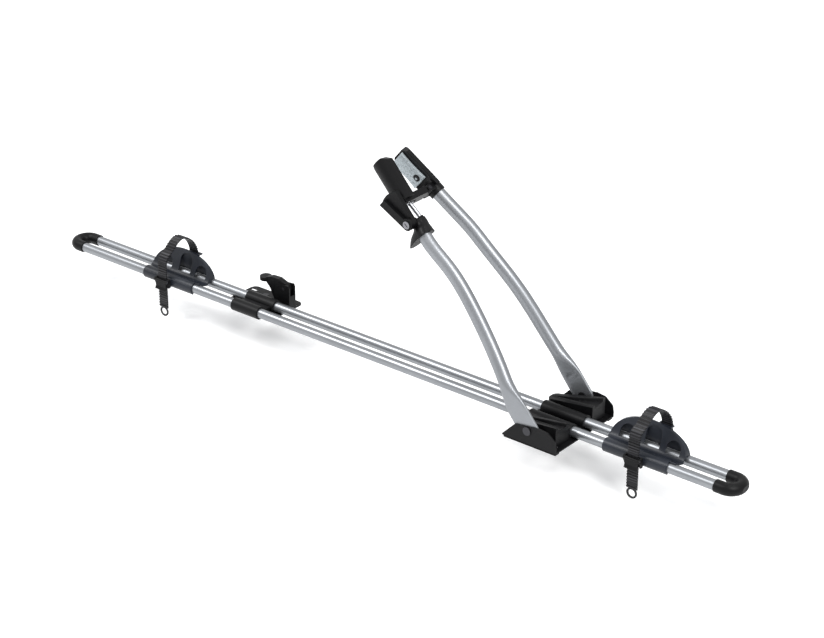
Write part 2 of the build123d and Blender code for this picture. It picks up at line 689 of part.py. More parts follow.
def front_jaw():
    """Moving jaw with its bridge to the hinge."""
    blade = leaned(mirrored(jaw_blade(JAW_BOTTOM) - pad_screw()), -1)
    blade &= box((-JAW_TOP - JAW_TIP_R, 0), (BRIDGE_OUTER_Y, 0), (-HEAD_Y, HEAD_Y))
    low = HINGE_UP - BRIDGE_THICKNESS / 2
    high = HINGE_UP + BRIDGE_THICKNESS / 2
    wide = (-BRIDGE_HALF_WIDTH, BRIDGE_HALF_WIDTH)
    bridge = box((-high, -low), (BRIDGE_OUTER_Y, BRIDGE_INNER_Y), wide)
    bridge += box((-high, -low), (BRIDGE_INNER_Y, HINGE_Y), (-TONGUE_HALF, TONGUE_HALF))
    bridge += rod_z(KNUCKLE_D, -TONGUE_HALF, TONGUE_HALF, -HINGE_UP, HINGE_Y)
    jaw = blade + bridge
    pocket = ROD_D / 2 + LOOSE_GAP
    jaw -= box(
        (-POCKET_TOP, 0), (POCKET_OUTER_Y, POCKET_INNER_Y), (ROD_Z - pocket, ROD_Z + pocket)
    )
    jaw -= rod_z(HINGE_D + 2 * RUNNING_GAP, -HEAD_Y, HEAD_Y, -HINGE_UP, HINGE_Y)
    jaw -= rod_z(CROSS_PIN_D, -CROSS_PIN_HALF_LENGTH, CROSS_PIN_HALF_LENGTH, -CROSS_PIN_UP, ROD_Y)
    return jaw


def rod_cross_pin():
    """Pin of the moving jaw that the clamp rod's eye pulls."""
    return rod_z(CROSS_PIN_D, -CROSS_PIN_HALF_LENGTH, CROSS_PIN_HALF_LENGTH, -CROSS_PIN_UP, ROD_Y)


def clamp_rod():
    """Rod with a slotted eye."""
    rod = rod_x(ROD_D, -CROSS_PIN_UP + EYE_SLOT_WIDTH / 2, -ROD_BOTTOM, ROD_Y, ROD_Z)
    place = Pos(-CROSS_PIN_UP, EYE_SLOT_Y, ROD_Z - ROD_D / 2)
    eye = extrude(
        place * SlotOverall(EYE_SLOT_LENGTH + 2 * EYE_WALL, EYE_SLOT_WIDTH + 2 * EYE_WALL, rotation=90),
        amount=ROD_D,
    )
    slot = extrude(place * SlotOverall(EYE_SLOT_LENGTH, EYE_SLOT_WIDTH, rotation=90), amount=ROD_D)
    return (rod + eye) - slot


def lever_housing():
    """Moulded socket on the front arm with the lever's cheek, the rod guide and a flared tail."""
    collar = end_prism(tube_oval(HOUSING_WALL), (-HOUSING_COLLAR_TOP, -HOUSING_BOTTOM))
    piece = leaned(collar, -1)
    core = box(
        (-HOUSING_TOP, -HOUSING_COLLAR_TOP + OVERRUN),
        (HOUSING_OUTER_Y, HOUSING_INNER_Y),
        (-HOUSING_HALF_WIDTH, HOUSING_HALF_WIDTH),
    )
    piece += fillet(core.edges().filter_by(Axis.X), HOUSING_WALL)
    cheek = (HOUSING_OUTER_Y, HOUSING_OUTER_Y + CHEEK_THICKNESS)
    piece += rod_y(2 * CHEEK_R, *cheek, LEVER_X, LEVER_Z)
    piece += rod_x(GUIDE_D, -HOUSING_TOP, -HOUSING_BOTTOM, ROD_Y, ROD_Z)
    tail = make_face(
        [
            Line((TAIL_ROOT_X, TAIL_ROOT_Z), (-HOUSING_BOTTOM, TAIL_ROOT_Z)),
            Line((-HOUSING_BOTTOM, TAIL_ROOT_Z), (-HOUSING_BOTTOM, TAIL_TIP_Z + TAIL_SAG)),
            Line((-HOUSING_BOTTOM, TAIL_TIP_Z + TAIL_SAG), (TAIL_TIP_X, TAIL_TIP_Z)),
            ThreePointArc(
                (TAIL_TIP_X, TAIL_TIP_Z),
                ((TAIL_ROOT_X + TAIL_TIP_X) / 2 + TAIL_SAG / 2, (TAIL_ROOT_Z + TAIL_TIP_Z) / 2 + TAIL_SAG / 2),
                (TAIL_ROOT_X, TAIL_ROOT_Z),
            ),
        ]
    )
    piece += side_prism(tail, TAIL_Y)
    piece -= leaned(end_prism(tube_oval(0), (-FRONT_ARM_END, -HOUSING_BOTTOM + OVERRUN)), -1)
    piece -= rod_x(ROD_D + 2 * RUNNING_GAP, 0, -ROD_CHANNEL_BOTTOM, ROD_Y, ROD_Z)
    piece -= rod_y(LEVER_PIN_D, HOUSING_OUTER_Y - OVERRUN, cheek[1], LEVER_X, LEVER_Z)
    return piece


def lever_faces():
    """Inner face and hub face of the lever, and the seat of its pin's head."""
    inner = HOUSING_OUTER_Y - LOOSE_GAP
    return inner, inner - LEVER_BAR_THICKNESS, inner - LEVER_GRIP


def lever_pin():
    """Shouldered pin that holds the lever on the cheek."""
    inner, outer, seat = lever_faces()
    head = seat - RUNNING_GAP
    pin = rod_y(LEVER_PIN_D, head, HOUSING_OUTER_Y + CHEEK_THICKNESS, LEVER_X, LEVER_Z)
    return pin + rod_y(LEVER_PIN_HEAD_D, head - LEVER_PIN_HEAD_HEIGHT, head, LEVER_X, LEVER_Z)


def clamp_lever():
    """Over-centre lever: a broad plate with a thick bar along its outer edge."""
    inner, outer, seat = lever_faces()
    outline = make_face(
        [
            Line(LEVER_FOOT_RIGHT, LEVER_HEAD_RIGHT),
            ThreePointArc(LEVER_HEAD_RIGHT, LEVER_HEAD_CROWN, LEVER_HEAD_LEFT),
            Line(LEVER_HEAD_LEFT, LEVER_FOOT_LEFT),
            Line(LEVER_FOOT_LEFT, LEVER_FOOT_RIGHT),
        ]
    )
    lever = side_prism(outline, (inner - LEVER_THICKNESS, inner))
    bar = polygon(
        LEVER_HEAD_LEFT,
        LEVER_FOOT_LEFT,
        (LEVER_X, LEVER_FOOT_LEFT[1] + LEVER_BAR_WIDTH),
        (LEVER_HEAD_LEFT[0], LEVER_HEAD_LEFT[1] + LEVER_BAR_WIDTH),
    )
    lever += side_prism(bar, (outer, inner))
    lever += rod_y(LEVER_HUB_D, outer, inner, LEVER_X, LEVER_Z)
    lever -= rod_y(LEVER_PIN_D + 2 * RUNNING_GAP, outer, inner + OVERRUN, LEVER_X, LEVER_Z)
    lever -= rod_y(LOCK_D + 2 * RUNNING_GAP, outer - OVERRUN, seat, LEVER_X, LEVER_Z)
    return lever


def lock_cylinder():
    """Key lock in the lever's hub."""
    inner, outer, seat = lever_faces()
    face = outer - LOCK_PROUD
    lock = rod_y(LOCK_D, face, face + LOCK_LENGTH, LEVER_X, LEVER_Z)
    keyway = box(
        (LEVER_X - KEYWAY_LENGTH / 2, LEVER_X + KEYWAY_LENGTH / 2),
        (face - OVERRUN, face + KEYWAY_DEPTH),
        (LEVER_Z - KEYWAY_WIDTH / 2, LEVER_Z + KEYWAY_WIDTH / 2),
    )
    return lock - keyway


# Wheel trays, drawn from the left end of the clip and the rails' axes
def wing_disc(radius):
    """Disc of the wing's rim, drawn in x and z."""
    return Pos(WING_ARC_X, WING_CROWN - WING_ARC_R) * Circle(radius)


def wing_profile(front, back, top):
    """Section of the wing, drawn in y and z, set in at the front and the back."""
    lean = atan2(WING_TOP_Y - WING_ROOT_Y, WING_CROWN - WING_ROOT_Z)
    shift = front / cos(lean)
    return polygon(
        (WING_TOE_Y + shift, WING_SILL - back),
        (WING_TOE_Y + shift, WING_TOE_Z),
        (WING_ROOT_Y + shift, WING_ROOT_Z),
        (WING_TOP_Y + shift, WING_CROWN),
        (WING_TOP_Y + shift, top),
        (WING_BACK_Y - back, top),
        (WING_BACK_Y - back, WING_SILL - back),
    )


def wing():
    """Hollow wing: leaning dished face, rim, rear wall and end walls."""
    span = (WING_START_X, WING_END_X)
    depth = (-RAIL_SPACING, RAIL_SPACING)
    outer = end_prism(wing_profile(0, 0, WING_CROWN + OVERRUN), span)
    outer &= side_prism(wing_disc(WING_ARC_R), depth)
    lean_shift = DISH_DEPTH
    dish = end_prism(
        polygon(
            (-RAIL_SPACING, WING_ROOT_Z + RIM_BEAD),
            (WING_ROOT_Y + lean_shift, WING_ROOT_Z + RIM_BEAD - OVERRUN),
            (WING_TOP_Y + lean_shift, WING_CROWN),
            (-RAIL_SPACING, WING_CROWN),
        ),
        (WING_START_X + RIM_BEAD, WING_END_X - RIM_BEAD),
    )
    outer -= dish & side_prism(wing_disc(WING_ARC_R - RIM_BEAD), depth)
    inner_span = (WING_START_X + WING_WALL, WING_END_X - WING_WALL)
    inner = end_prism(wing_profile(WING_WALL + DISH_DEPTH, WING_WALL, WING_CROWN + OVERRUN), inner_span)
    inner &= side_prism(wing_disc(WING_ARC_R - WING_WALL), depth)
    shell = outer - inner
    slot = box(RIM_SLOT, RIM_SLOT_Y, (0, WING_CROWN + OVERRUN))
    shell -= slot - side_prism(wing_disc(WING_ARC_R - 2 * WING_WALL), depth)
    for start, end, sill, head in WINDOWS:
        window = Pos((start + end) / 2, (sill + head) / 2) * RectangleRounded(
            end - start, head - sill, WINDOW_R
        )
        shell -= side_prism(window, (-RAIL_SPACING, RIM_SLOT_Y[1] - WING_WALL))
    return shell


def wheel_tray():
    """Clip, trough and wing of one wheel tray."""
    front = -RAIL_Y
    half = RUNNING_RAIL_D / 2
    clip = rod_x(CLIP_D, 0, CLIP_LENGTH, front, 0)
    clip += rod_x(RIDGE_ON_CLIP_D, OVERRUN, CLIP_LENGTH - SCOOP_R, front + CLIP_D / 4, CLIP_D / 2 - RIDGE_ON_CLIP_D / 2)
    clip -= box((-OVERRUN, CLIP_LENGTH + OVERRUN), (front - CLIP_MOUTH / 2, front + CLIP_MOUTH / 2), (-CLIP_D, 0))
    top = CLIP_D / 2
    trough = end_prism(
        make_face(
            [
                Spline((front, top), (TROUGH_LOW_Y, TROUGH_LOW_Z), (WING_ROOT_Y + WING_WALL, WING_ROOT_Z + TROUGH_WALL)),
                Polyline(
                    (WING_ROOT_Y + WING_WALL, WING_ROOT_Z + TROUGH_WALL),
                    (WING_ROOT_Y + WING_WALL, WING_ROOT_Z),
                    (TROUGH_LOW_Y, TROUGH_LOW_Z - TROUGH_WALL),
                    (front + CLIP_D / 2 - OVERRUN / 4, TROUGH_LOW_Z - TROUGH_WALL),
                    (front, 0),
                    (front, top),
                ),
            ]
        ),
        (0, CLIP_LENGTH),
    )
    tray = clip + trough + wing()
    for x in HOOK_X:
        hook = polygon(
            (HOOK_REACH_Y, -half),
            (WING_BACK_Y - WING_WALL, -half),
            (WING_BACK_Y - WING_WALL, 0),
            (WING_BACK_Y, 0),
            (WING_BACK_Y, -half - HOOK_THICKNESS),
            (HOOK_REACH_Y + OVERRUN, -half - HOOK_THICKNESS),
        )
        tray += end_prism(hook, x)
    tray += box(
        (STRAP_FRONT_X - BUCKLE_WIDTH / 2, STRAP_FRONT_X + BUCKLE_WIDTH / 2),
        (BUCKLE_SEAT_Y, BUCKLE_SEAT_Y + BUCKLE_SEAT_DEPTH),
        (BUCKLE_CENTRE_Z - BUCKLE_HEIGHT / 2, BUCKLE_CENTRE_Z + BUCKLE_HEIGHT / 2),
    )
    for side in (-1, 1):
        centre = STRAP_REAR_X + side * (ANCHOR_LENGTH - LUG_WIDTH) / 2
        tray += box(
            (centre - LUG_WIDTH / 2, centre + LUG_WIDTH / 2),
            (ANCHOR_Y - ANCHOR_D, WING_BACK_Y - WING_WALL / 2),
            (ANCHOR_Z - ANCHOR_D, ANCHOR_Z + ANCHOR_D),
        )
    guard = box(STRAP_GUARD, (WING_BACK_Y - WING_WALL, WING_BACK_Y + STRAP_GUARD_DEPTH), STRAP_GUARD_Z)
    tray += guard
    for y in (-RAIL_Y, RAIL_Y):
        tray -= rod_x(RUNNING_RAIL_D, WING_START_X - OVERRUN, WING_END_X + OVERRUN, y, 0)
    scoop = rod_z(2 * SCOOP_R, TROUGH_LOW_Z, CLIP_D, SCOOP_X, front + OVERRUN)
    tray -= scoop
    return tray - strap_anchor()


def strap_anchor():
    """Cross pin of the strap's rear end."""
    half = ANCHOR_LENGTH / 2
    return rod_x(ANCHOR_D, STRAP_REAR_X - half, STRAP_REAR_X + half, ANCHOR_Y, ANCHOR_Z)


def band(path):
    """Toothed section of the strap along a path, drawn in y and z."""
    count = int(path.length / TOOTH_PITCH)
    inner = []
    outer = []
    for i in range(count + 1):
        at = path @ (i / count)
        along = path % (i / count)
        square = Vector(along.Y, -along.X)
        inner.append(at - square * STRAP_THICKNESS / 2)
    outer.append(path @ 0 + (inner[0] - path @ 0) * -1)
    for i in range(count):
        at = path @ ((i + 1 / 2) / count)
        along = path % ((i + 1 / 2) / count)
        square = Vector(along.Y, -along.X)
        root = at + square * STRAP_THICKNESS / 2
        tip = root + square * TOOTH_HEIGHT
        step = along * TOOTH_PITCH / 4
        outer += [root - step, tip - step, tip + step, root + step]
    outer.append(path @ 1 + (inner[-1] - path @ 1) * -1)
    return polygon(*[(p.X, p.Y) for p in outer + inner[::-1]])


def strap_slab():
    """Skewed slab that gives the strap its width."""
    lean = (STRAP_REAR_X - STRAP_FRONT_X) / (ANCHOR_Y - STRAP_FRONT_Y)
    half = STRAP_WIDTH / 2
    reach = BUCKLE_WIDTH
    near = STRAP_FRONT_X - reach * lean
    far = STRAP_REAR_X + reach * lean
    plan = polygon(
        (near - half, STRAP_FRONT_Y - reach),
        (near + half, STRAP_FRONT_Y - reach),
        (far + half, ANCHOR_Y + reach),
        (far - half, ANCHOR_Y + reach),
    )
    return extrude(plan, amount=2 * WING_ARC_R, both=True)


def wheel_strap():
    """Toothed strap from the anchor over the wheel, through the buckle and down to its ring."""
    loop = Spline(
        (ANCHOR_Y, ANCHOR_Z),
        *STRAP_LOOP,
        (STRAP_FRONT_Y, STRAP_RUN_TOP),
        tangents=((0, 1), (0, -1)),
    )
    tail = Line((STRAP_FRONT_Y, STRAP_RUN_TOP), (STRAP_FRONT_Y, STRAP_RUN_BOTTOM))
    span = (STRAP_FRONT_X - STRAP_WIDTH, STRAP_REAR_X + STRAP_WIDTH)
    strap = end_prism(band(loop), span) + end_prism(band(tail), span)
    strap += rod_x(ANCHOR_EYE_D, *span, ANCHOR_Y, ANCHOR_Z)
    strap &= strap_slab()
    flat = (STRAP_FRONT_Y - STRAP_THICKNESS / 2, STRAP_FRONT_Y + STRAP_THICKNESS / 2)
    strap += rod_y(STRAP_END_RING_D, *flat, STRAP_FRONT_X, STRAP_END_Z)
    strap -= rod_y(
        STRAP_END_HOLE_D, flat[0] - OVERRUN, flat[1] + OVERRUN, STRAP_FRONT_X, STRAP_END_Z
    )
    return strap - rod_x(ANCHOR_D, *span, ANCHOR_Y, ANCHOR_Z)


# Buckles, drawn from the tray's corner
def buckle_span(half):
    """Limits in x, half a width to each side of the buckle's middle."""
    return (STRAP_FRONT_X - half, STRAP_FRONT_X + half)


def buckle_body():
    """Channel behind the strap with a cheek on each side."""
    half = BUCKLE_WIDTH / 2
    height = (BUCKLE_CENTRE_Z - BUCKLE_HEIGHT / 2, BUCKLE_CENTRE_Z + BUCKLE_HEIGHT / 2)
    back = STRAP_FRONT_Y + STRAP_THICKNESS / 2
    body = box(buckle_span(half), (back, BUCKLE_SEAT_Y), height)
    for side in (-1, 1):
        cheek = sorted((STRAP_FRONT_X + side * half, STRAP_FRONT_X + side * (half - BUCKLE_CHEEK)))
        ear = rod_x(2 * BUCKLE_EAR_D / 2, *cheek, BUCKLE_PIN_Y, BUCKLE_PIN_Z)
        plate = polygon(
            (BUCKLE_SEAT_Y, height[0]),
            (BUCKLE_SEAT_Y, height[1]),
            (BUCKLE_PIN_Y, height[1]),
            (BUCKLE_PIN_Y - BUCKLE_EAR_D / 2, BUCKLE_PIN_Z),
            (back - BUCKLE_EAR_D / 2, height[0]),
        )
        body += end_prism(plate, cheek) + ear
    return body - buckle_pin()


def buckle_pin():
    """Pin of the buckle's lever."""
    return rod_x(BUCKLE_PIN_D, *buckle_span(BUCKLE_WIDTH / 2), BUCKLE_PIN_Y, BUCKLE_PIN_Z)


def buckle_lever():
    """Release lever over the strap."""
    half = BUCKLE_WIDTH / 2 - BUCKLE_CHEEK - LOOSE_GAP
    front = BUCKLE_PIN_Y - BUCKLE_LEVER_THICKNESS / 2
    back = BUCKLE_PIN_Y + BUCKLE_LEVER_THICKNESS / 2
    foot = BUCKLE_PIN_Z - BUCKLE_LEVER_DROP
    outline = polygon(
        (back, BUCKLE_PIN_Z),
        (back, foot + BUCKLE_TONGUE_FLARE),
        (back - BUCKLE_TONGUE_FLARE, foot),
        (front - BUCKLE_TONGUE_FLARE, foot),
        (front, foot + 2 * BUCKLE_TONGUE_FLARE),
        (front, BUCKLE_PIN_Z),
    )
    lever = end_prism(outline, buckle_span(half))
    lever += rod_x(BUCKLE_EAR_D, *buckle_span(half), BUCKLE_PIN_Y, BUCKLE_PIN_Z)
    bore = BUCKLE_PIN_D + 2 * RUNNING_GAP
    return lever - rod_x(bore, *buckle_span(BUCKLE_WIDTH), BUCKLE_PIN_Y, BUCKLE_PIN_Z)


# Roof bar bracket
def bracket_saddle():
    """Plastic saddle on both rails with the lever's cheeks on its flange."""
    low = FOOT_SHEET
    saddle = rod_x(BRACKET_CLIP_D, *BRACKET_CLIP_X, -RAIL_Y, RAIL_AXIS_Z)
    saddle += rod_x(BRACKET_SLEEVE_D, *BRACKET_SLEEVE_X, RAIL_Y, RAIL_AXIS_Z)
    web = (RAIL_AXIS_Z - BRACKET_WEB_THICKNESS / 2, RAIL_AXIS_Z + BRACKET_WEB_THICKNESS / 2)
    saddle += box(BRACKET_CLIP_X, (-RAIL_Y, RAIL_Y), web)
    cheeks = (
        (BRACKET_LEVER_Y[0] - LOOSE_GAP - BRACKET_CHEEK, BRACKET_LEVER_Y[0] - LOOSE_GAP),
        (BRACKET_LEVER_Y[1] + LOOSE_GAP, BRACKET_LEVER_Y[1] + LOOSE_GAP + BRACKET_CHEEK),
    )
    flange_x = (BRACKET_SLEEVE_X[0], BRACKET_CHEEK_X[1])
    flange = (low, low + BRACKET_FLANGE_THICKNESS)
    saddle += box(flange_x, (RAIL_Y + RAIL_D, cheeks[1][1] + BRACKET_CHEEK), flange)
    saddle += box(BRACKET_SLEEVE_X, (RAIL_Y, RAIL_Y + RAIL_D + OVERRUN), flange)
    left, right = BRACKET_CHEEK_X
    top = RAIL_AXIS_Z + BRACKET_CHEEK_RISE
    corner = BRACKET_HUB_D / 2
    outline = polygon(
        (left, low),
        (right, low),
        (right, top - corner / 2),
        (right - corner / 4, top),
        (left + corner, top - corner / 4),
        (left + corner / 4, top - corner),
    )
    for y in cheeks:
        saddle += side_prism(outline, y)
    wall = (right - BRACKET_CHEEK, right)
    saddle += box(wall, (cheeks[0][0], cheeks[1][1]), (low, BRACKET_HINGE_RISE))
    reach = (BRACKET_PLATE_X[0], BRACKET_PLATE_X[1] + OVERRUN)
    saddle -= box(reach, (0, SIDE_PLATE_Y), (-RAIL_D, low))
    for y in (-RAIL_Y, RAIL_Y):
        saddle -= rod_x(RUNNING_RAIL_D, *reach, y, RAIL_AXIS_Z)
    saddle -= rod_y(BRACKET_PIN_D, 0, BRACKET_PLATE_Y[1], BRACKET_HINGE_X, RAIL_AXIS_Z + BRACKET_HINGE_RISE)
    return saddle - bracket_bolt()


def bracket_plate():
    """Slotted steel plate on the roof bar."""
    centre_x = sum(BRACKET_PLATE_X) / 2
    centre_y = sum(BRACKET_PLATE_Y) / 2
    plan = Pos(centre_x, centre_y) * RectangleRounded(
        BRACKET_PLATE_X[1] - BRACKET_PLATE_X[0],
        BRACKET_PLATE_Y[1] - BRACKET_PLATE_Y[0],
        BRACKET_PLATE_R,
    )
    for side in (-1, 1):
        place = Pos(centre_x + side * BRACKET_SLOT_X, BRACKET_SLOT_Y)
        plan -= place * SlotOverall(BRACKET_SLOT_LENGTH, BRACKET_SLOT_WIDTH)
    return extrude(plan, amount=FOOT_SHEET) - bracket_bolt()


def bracket_pad():
    """Rubber pad under the plate."""
    centre_x = sum(BRACKET_PLATE_X) / 2
    half = BRACKET_SLOT_X - BRACKET_SLOT_LENGTH / 2 - OVERRUN
    pad = box(
        (centre_x - half, centre_x + half),
        (BRACKET_PLATE_Y[0] + OVERRUN, BRACKET_SLOT_Y - BRACKET_SLOT_WIDTH),
        (-PAD_THICKNESS, 0),
    )
    return pad - bracket_bolt()


def bracket_bolt():
    """Bolt from the saddle's flange through the plate and the pad."""
    seat = FOOT_SHEET + BRACKET_FLANGE_THICKNESS
    y = sum(BRACKET_LEVER_Y) / 2
    bolt = rod_z(BRACKET_BOLT_D, seat - BRACKET_BOLT_LENGTH, seat, BRACKET_BOLT_X, y)
    return bolt + rod_z(
        BRACKET_BOLT_HEAD_D, seat, seat + BRACKET_BOLT_HEAD_HEIGHT, BRACKET_BOLT_X, y
    )


def bracket_lever_pin():
    """Pin through the cheeks."""
    reach = LOOSE_GAP + BRACKET_CHEEK
    limits = (BRACKET_LEVER_Y[0] - reach, BRACKET_LEVER_Y[1] + reach)
    return rod_y(BRACKET_PIN_D, *limits, BRACKET_HINGE_X, RAIL_AXIS_Z + BRACKET_HINGE_RISE)


def bracket_lever():
    """Cam lever with a curved leg and a rounded thumb tab."""
    hub = (BRACKET_HINGE_X, BRACKET_HINGE_RISE)
    half = BRACKET_TAB_THICKNESS / 2
    tab = (BRACKET_TAB_X, BRACKET_TAB_RISE)
    points = (
        (hub[0], hub[1] + BRACKET_HUB_D / 2),
        *BRACKET_BACK,
        (tab[0] + half, tab[1] + half),
        (tab[0] + half, tab[1] - half),
        *BRACKET_LEG,
        (hub[0], hub[1] - BRACKET_HUB_D / 2),
    )
    outline = polygon(*[(x, z + RAIL_AXIS_Z) for x, z in points])
    lever = side_prism(outline, BRACKET_LEVER_Y)
    z = RAIL_AXIS_Z + hub[1]
    lever += rod_y(BRACKET_HUB_D, *BRACKET_LEVER_Y, hub[0], z)
    middle = sum(BRACKET_LEVER_Y) / 2
    disc = (RAIL_AXIS_Z + tab[1] - half, RAIL_AXIS_Z + tab[1] + half)
    lever += rod_z(BRACKET_TAB_WIDTH, *disc, tab[0], middle)
    bore = BRACKET_PIN_D + 2 * RUNNING_GAP
    return lever - rod_y(bore, 0, BRACKET_PLATE_Y[1], hub[0], z)


def nodes():
    """Every node's name with its solids."""
    wedge = gusset()
    strip = foot_pad(PAD_Y)
    pin = pivot_pin()
    cap = end_cap()
    near = Pos(RAIL_RIGHT_X, 0, RAIL_AXIS_Z)
    far = Pos(RAIL_LEFT_X, 0, RAIL_AXIS_Z) * Rot(0, 0, 180)
    result = {
        "front_rail": rail(-RAIL_Y),
        "rear_rail": rail(RAIL_Y),
        "end_cap_left": far * cap,
        "end_cap_right": near * cap,
        "foot_bracket": foot_bracket(),
        "foot_saddle": foot_saddle(),
        "foot_gusset_front": mirrored(wedge),
        "foot_gusset_rear": wedge,
        "foot_pad_front": mirrored(strip),
        "foot_pad_rear": strip,
        "foot_screws": Compound(
            saddle_screws()
            + [screw_z(GUSSET_SCREW_X, y * GUSSET_SCREW_Y, GUSSET_LEFT_Z) for y in (-1, 1)]
        ),
        "arm_pin_front": mirrored(pin),
        "arm_pin_rear": pin,
        "front_arm": mirrored(arm(FRONT_ARM_END)),
        "rear_arm": arm(REAR_ARM_END),
        "rear_jaw": at_head(rear_jaw()),
        "rear_jaw_pad": at_head(leaned(jaw_pad(), 1)),
        "rear_pad_screw": at_head(leaned(pad_screw(), 1)),
        "jaw_hinge_pin": at_head(jaw_hinge_pin()),
        "front_jaw": at_head(front_jaw()),
        "front_jaw_pad": at_head(leaned(mirrored(jaw_pad()), -1)),
        "front_pad_screw": at_head(leaned(mirrored(pad_screw()), -1)),
        "rod_cross_pin": at_head(rod_cross_pin()),
        "clamp_rod": at_head(clamp_rod()),
        "lever_housing": at_head(lever_housing()),
        "lever_pin": at_head(lever_pin()),
        "clamp_lever": at_head(clamp_lever()),
        "lock_cylinder": at_head(lock_cylinder()),
        "bracket_saddle": bracket_saddle(),
        "bracket_plate": bracket_plate(),
        "bracket_pad": bracket_pad(),
        "bracket_bolt": bracket_bolt(),
        "bracket_lever": bracket_lever(),
        "bracket_lever_pin": bracket_lever_pin(),
    }
    tray_pieces = {
        "wheel_tray": wheel_tray(),
        "wheel_strap": wheel_strap(),
        "strap_anchor": strap_anchor(),
        "buckle_body": buckle_body(),
        "buckle_lever": buckle_lever(),
        "buckle_pin": buckle_pin(),
    }
    for name, x in (("left", TRAY_LEFT_X), ("right", TRAY_RIGHT_X)):
        for kind, piece in tray_pieces.items():
            result[f"{kind}_{name}"] = Pos(x, 0, RAIL_AXIS_Z) * piece
    return result


os.makedirs("parts", exist_ok=True)
for name, piece in nodes().items():
    export_step(piece, f"parts/{name}.step")
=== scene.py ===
"""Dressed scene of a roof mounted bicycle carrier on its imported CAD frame."""

import math

import bmesh
import bpy
import numpy as np
from mathutils import Matrix, Vector


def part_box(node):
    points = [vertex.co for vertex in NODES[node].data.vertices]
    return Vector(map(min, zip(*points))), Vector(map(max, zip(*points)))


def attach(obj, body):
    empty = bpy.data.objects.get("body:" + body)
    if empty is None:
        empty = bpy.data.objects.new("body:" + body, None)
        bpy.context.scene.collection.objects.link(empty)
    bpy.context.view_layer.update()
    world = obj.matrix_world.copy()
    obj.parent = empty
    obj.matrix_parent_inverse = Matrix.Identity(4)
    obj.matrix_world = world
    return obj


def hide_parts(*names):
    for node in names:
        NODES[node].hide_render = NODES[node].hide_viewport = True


bl_info = {
    "name": "Bicycle Carrier Dresser",
    "version": (1, 0, 0),
    "blender": (4, 5, 0),
    "location": "View3D > Sidebar > Carrier",
    "description": "Gives the carrier its materials, fine pieces, stage, light and camera",
    "category": "Object",
}

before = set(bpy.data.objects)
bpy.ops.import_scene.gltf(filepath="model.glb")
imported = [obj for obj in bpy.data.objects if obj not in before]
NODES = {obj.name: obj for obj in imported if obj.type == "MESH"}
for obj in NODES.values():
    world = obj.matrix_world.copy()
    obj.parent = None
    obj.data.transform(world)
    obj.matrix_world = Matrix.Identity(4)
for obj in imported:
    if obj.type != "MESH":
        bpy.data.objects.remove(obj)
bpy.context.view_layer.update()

MM = 0.001
RAIL_LOW, RAIL_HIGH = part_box("front_rail")
RAIL_Z = (RAIL_LOW.z + RAIL_HIGH.z) / 2 / MM
RAIL_Y = -(RAIL_LOW.y + RAIL_HIGH.y) / 2 / MM
RAIL_R = (RAIL_HIGH.z - RAIL_LOW.z) / 2 / MM


# Shader maths
class Sock:
    """A node's output with arithmetic: an expression on it adds its Math nodes."""

    def __init__(self, graph, output):
        self.graph = graph
        self.output = output

    def math(self, operation, *values):
        settings = {"operation": operation}
        return self.graph.add("ShaderNodeMath", settings, enumerate(values))

    def __add__(self, other):
        return self.math("ADD", self, other)

    def __radd__(self, other):
        return self.math("ADD", other, self)

    def __mul__(self, other):
        return self.math("MULTIPLY", self, other)

    def __rmul__(self, other):
        return self.math("MULTIPLY", other, self)

    def sine(self):
        return self.math("SINE", self)

    def greater(self, other):
        """The larger of the two values."""
        return self.math("MAXIMUM", self, other)

    def ramp(self, low, high, low_out=0.0, high_out=1.0):
        """Smooth step between two values."""
        sockets = {"Value": self, "From Min": low, "From Max": high}
        sockets.update({"To Min": low_out, "To Max": high_out})
        settings = {"interpolation_type": "SMOOTHSTEP"}
        return self.graph.add("ShaderNodeMapRange", settings, sockets, "Result")

    def beside(self, name):
        """Another output of the same node."""
        return Sock(self.graph, self.output.node.outputs[name])


class Graph:
    """A node tree with one way to add a node."""

    def __init__(self, tree):
        self.tree = tree

    def add(self, kind, settings=(), sockets=(), output=0):
        """New node: its settings first, then the value or link of each socket."""
        node = self.tree.nodes.new(kind)
        for key, value in dict(settings).items():
            setattr(node, key, value)
        self.feed(node, sockets)
        return Sock(self, node.outputs[output])

    def feed(self, node, sockets):
        """Links a node's sockets to outputs, or sets their values."""
        for key, value in dict(sockets).items():
            if isinstance(value, Sock):
                self.tree.links.new(value.output, node.inputs[key])
            else:
                node.inputs[key].default_value = value


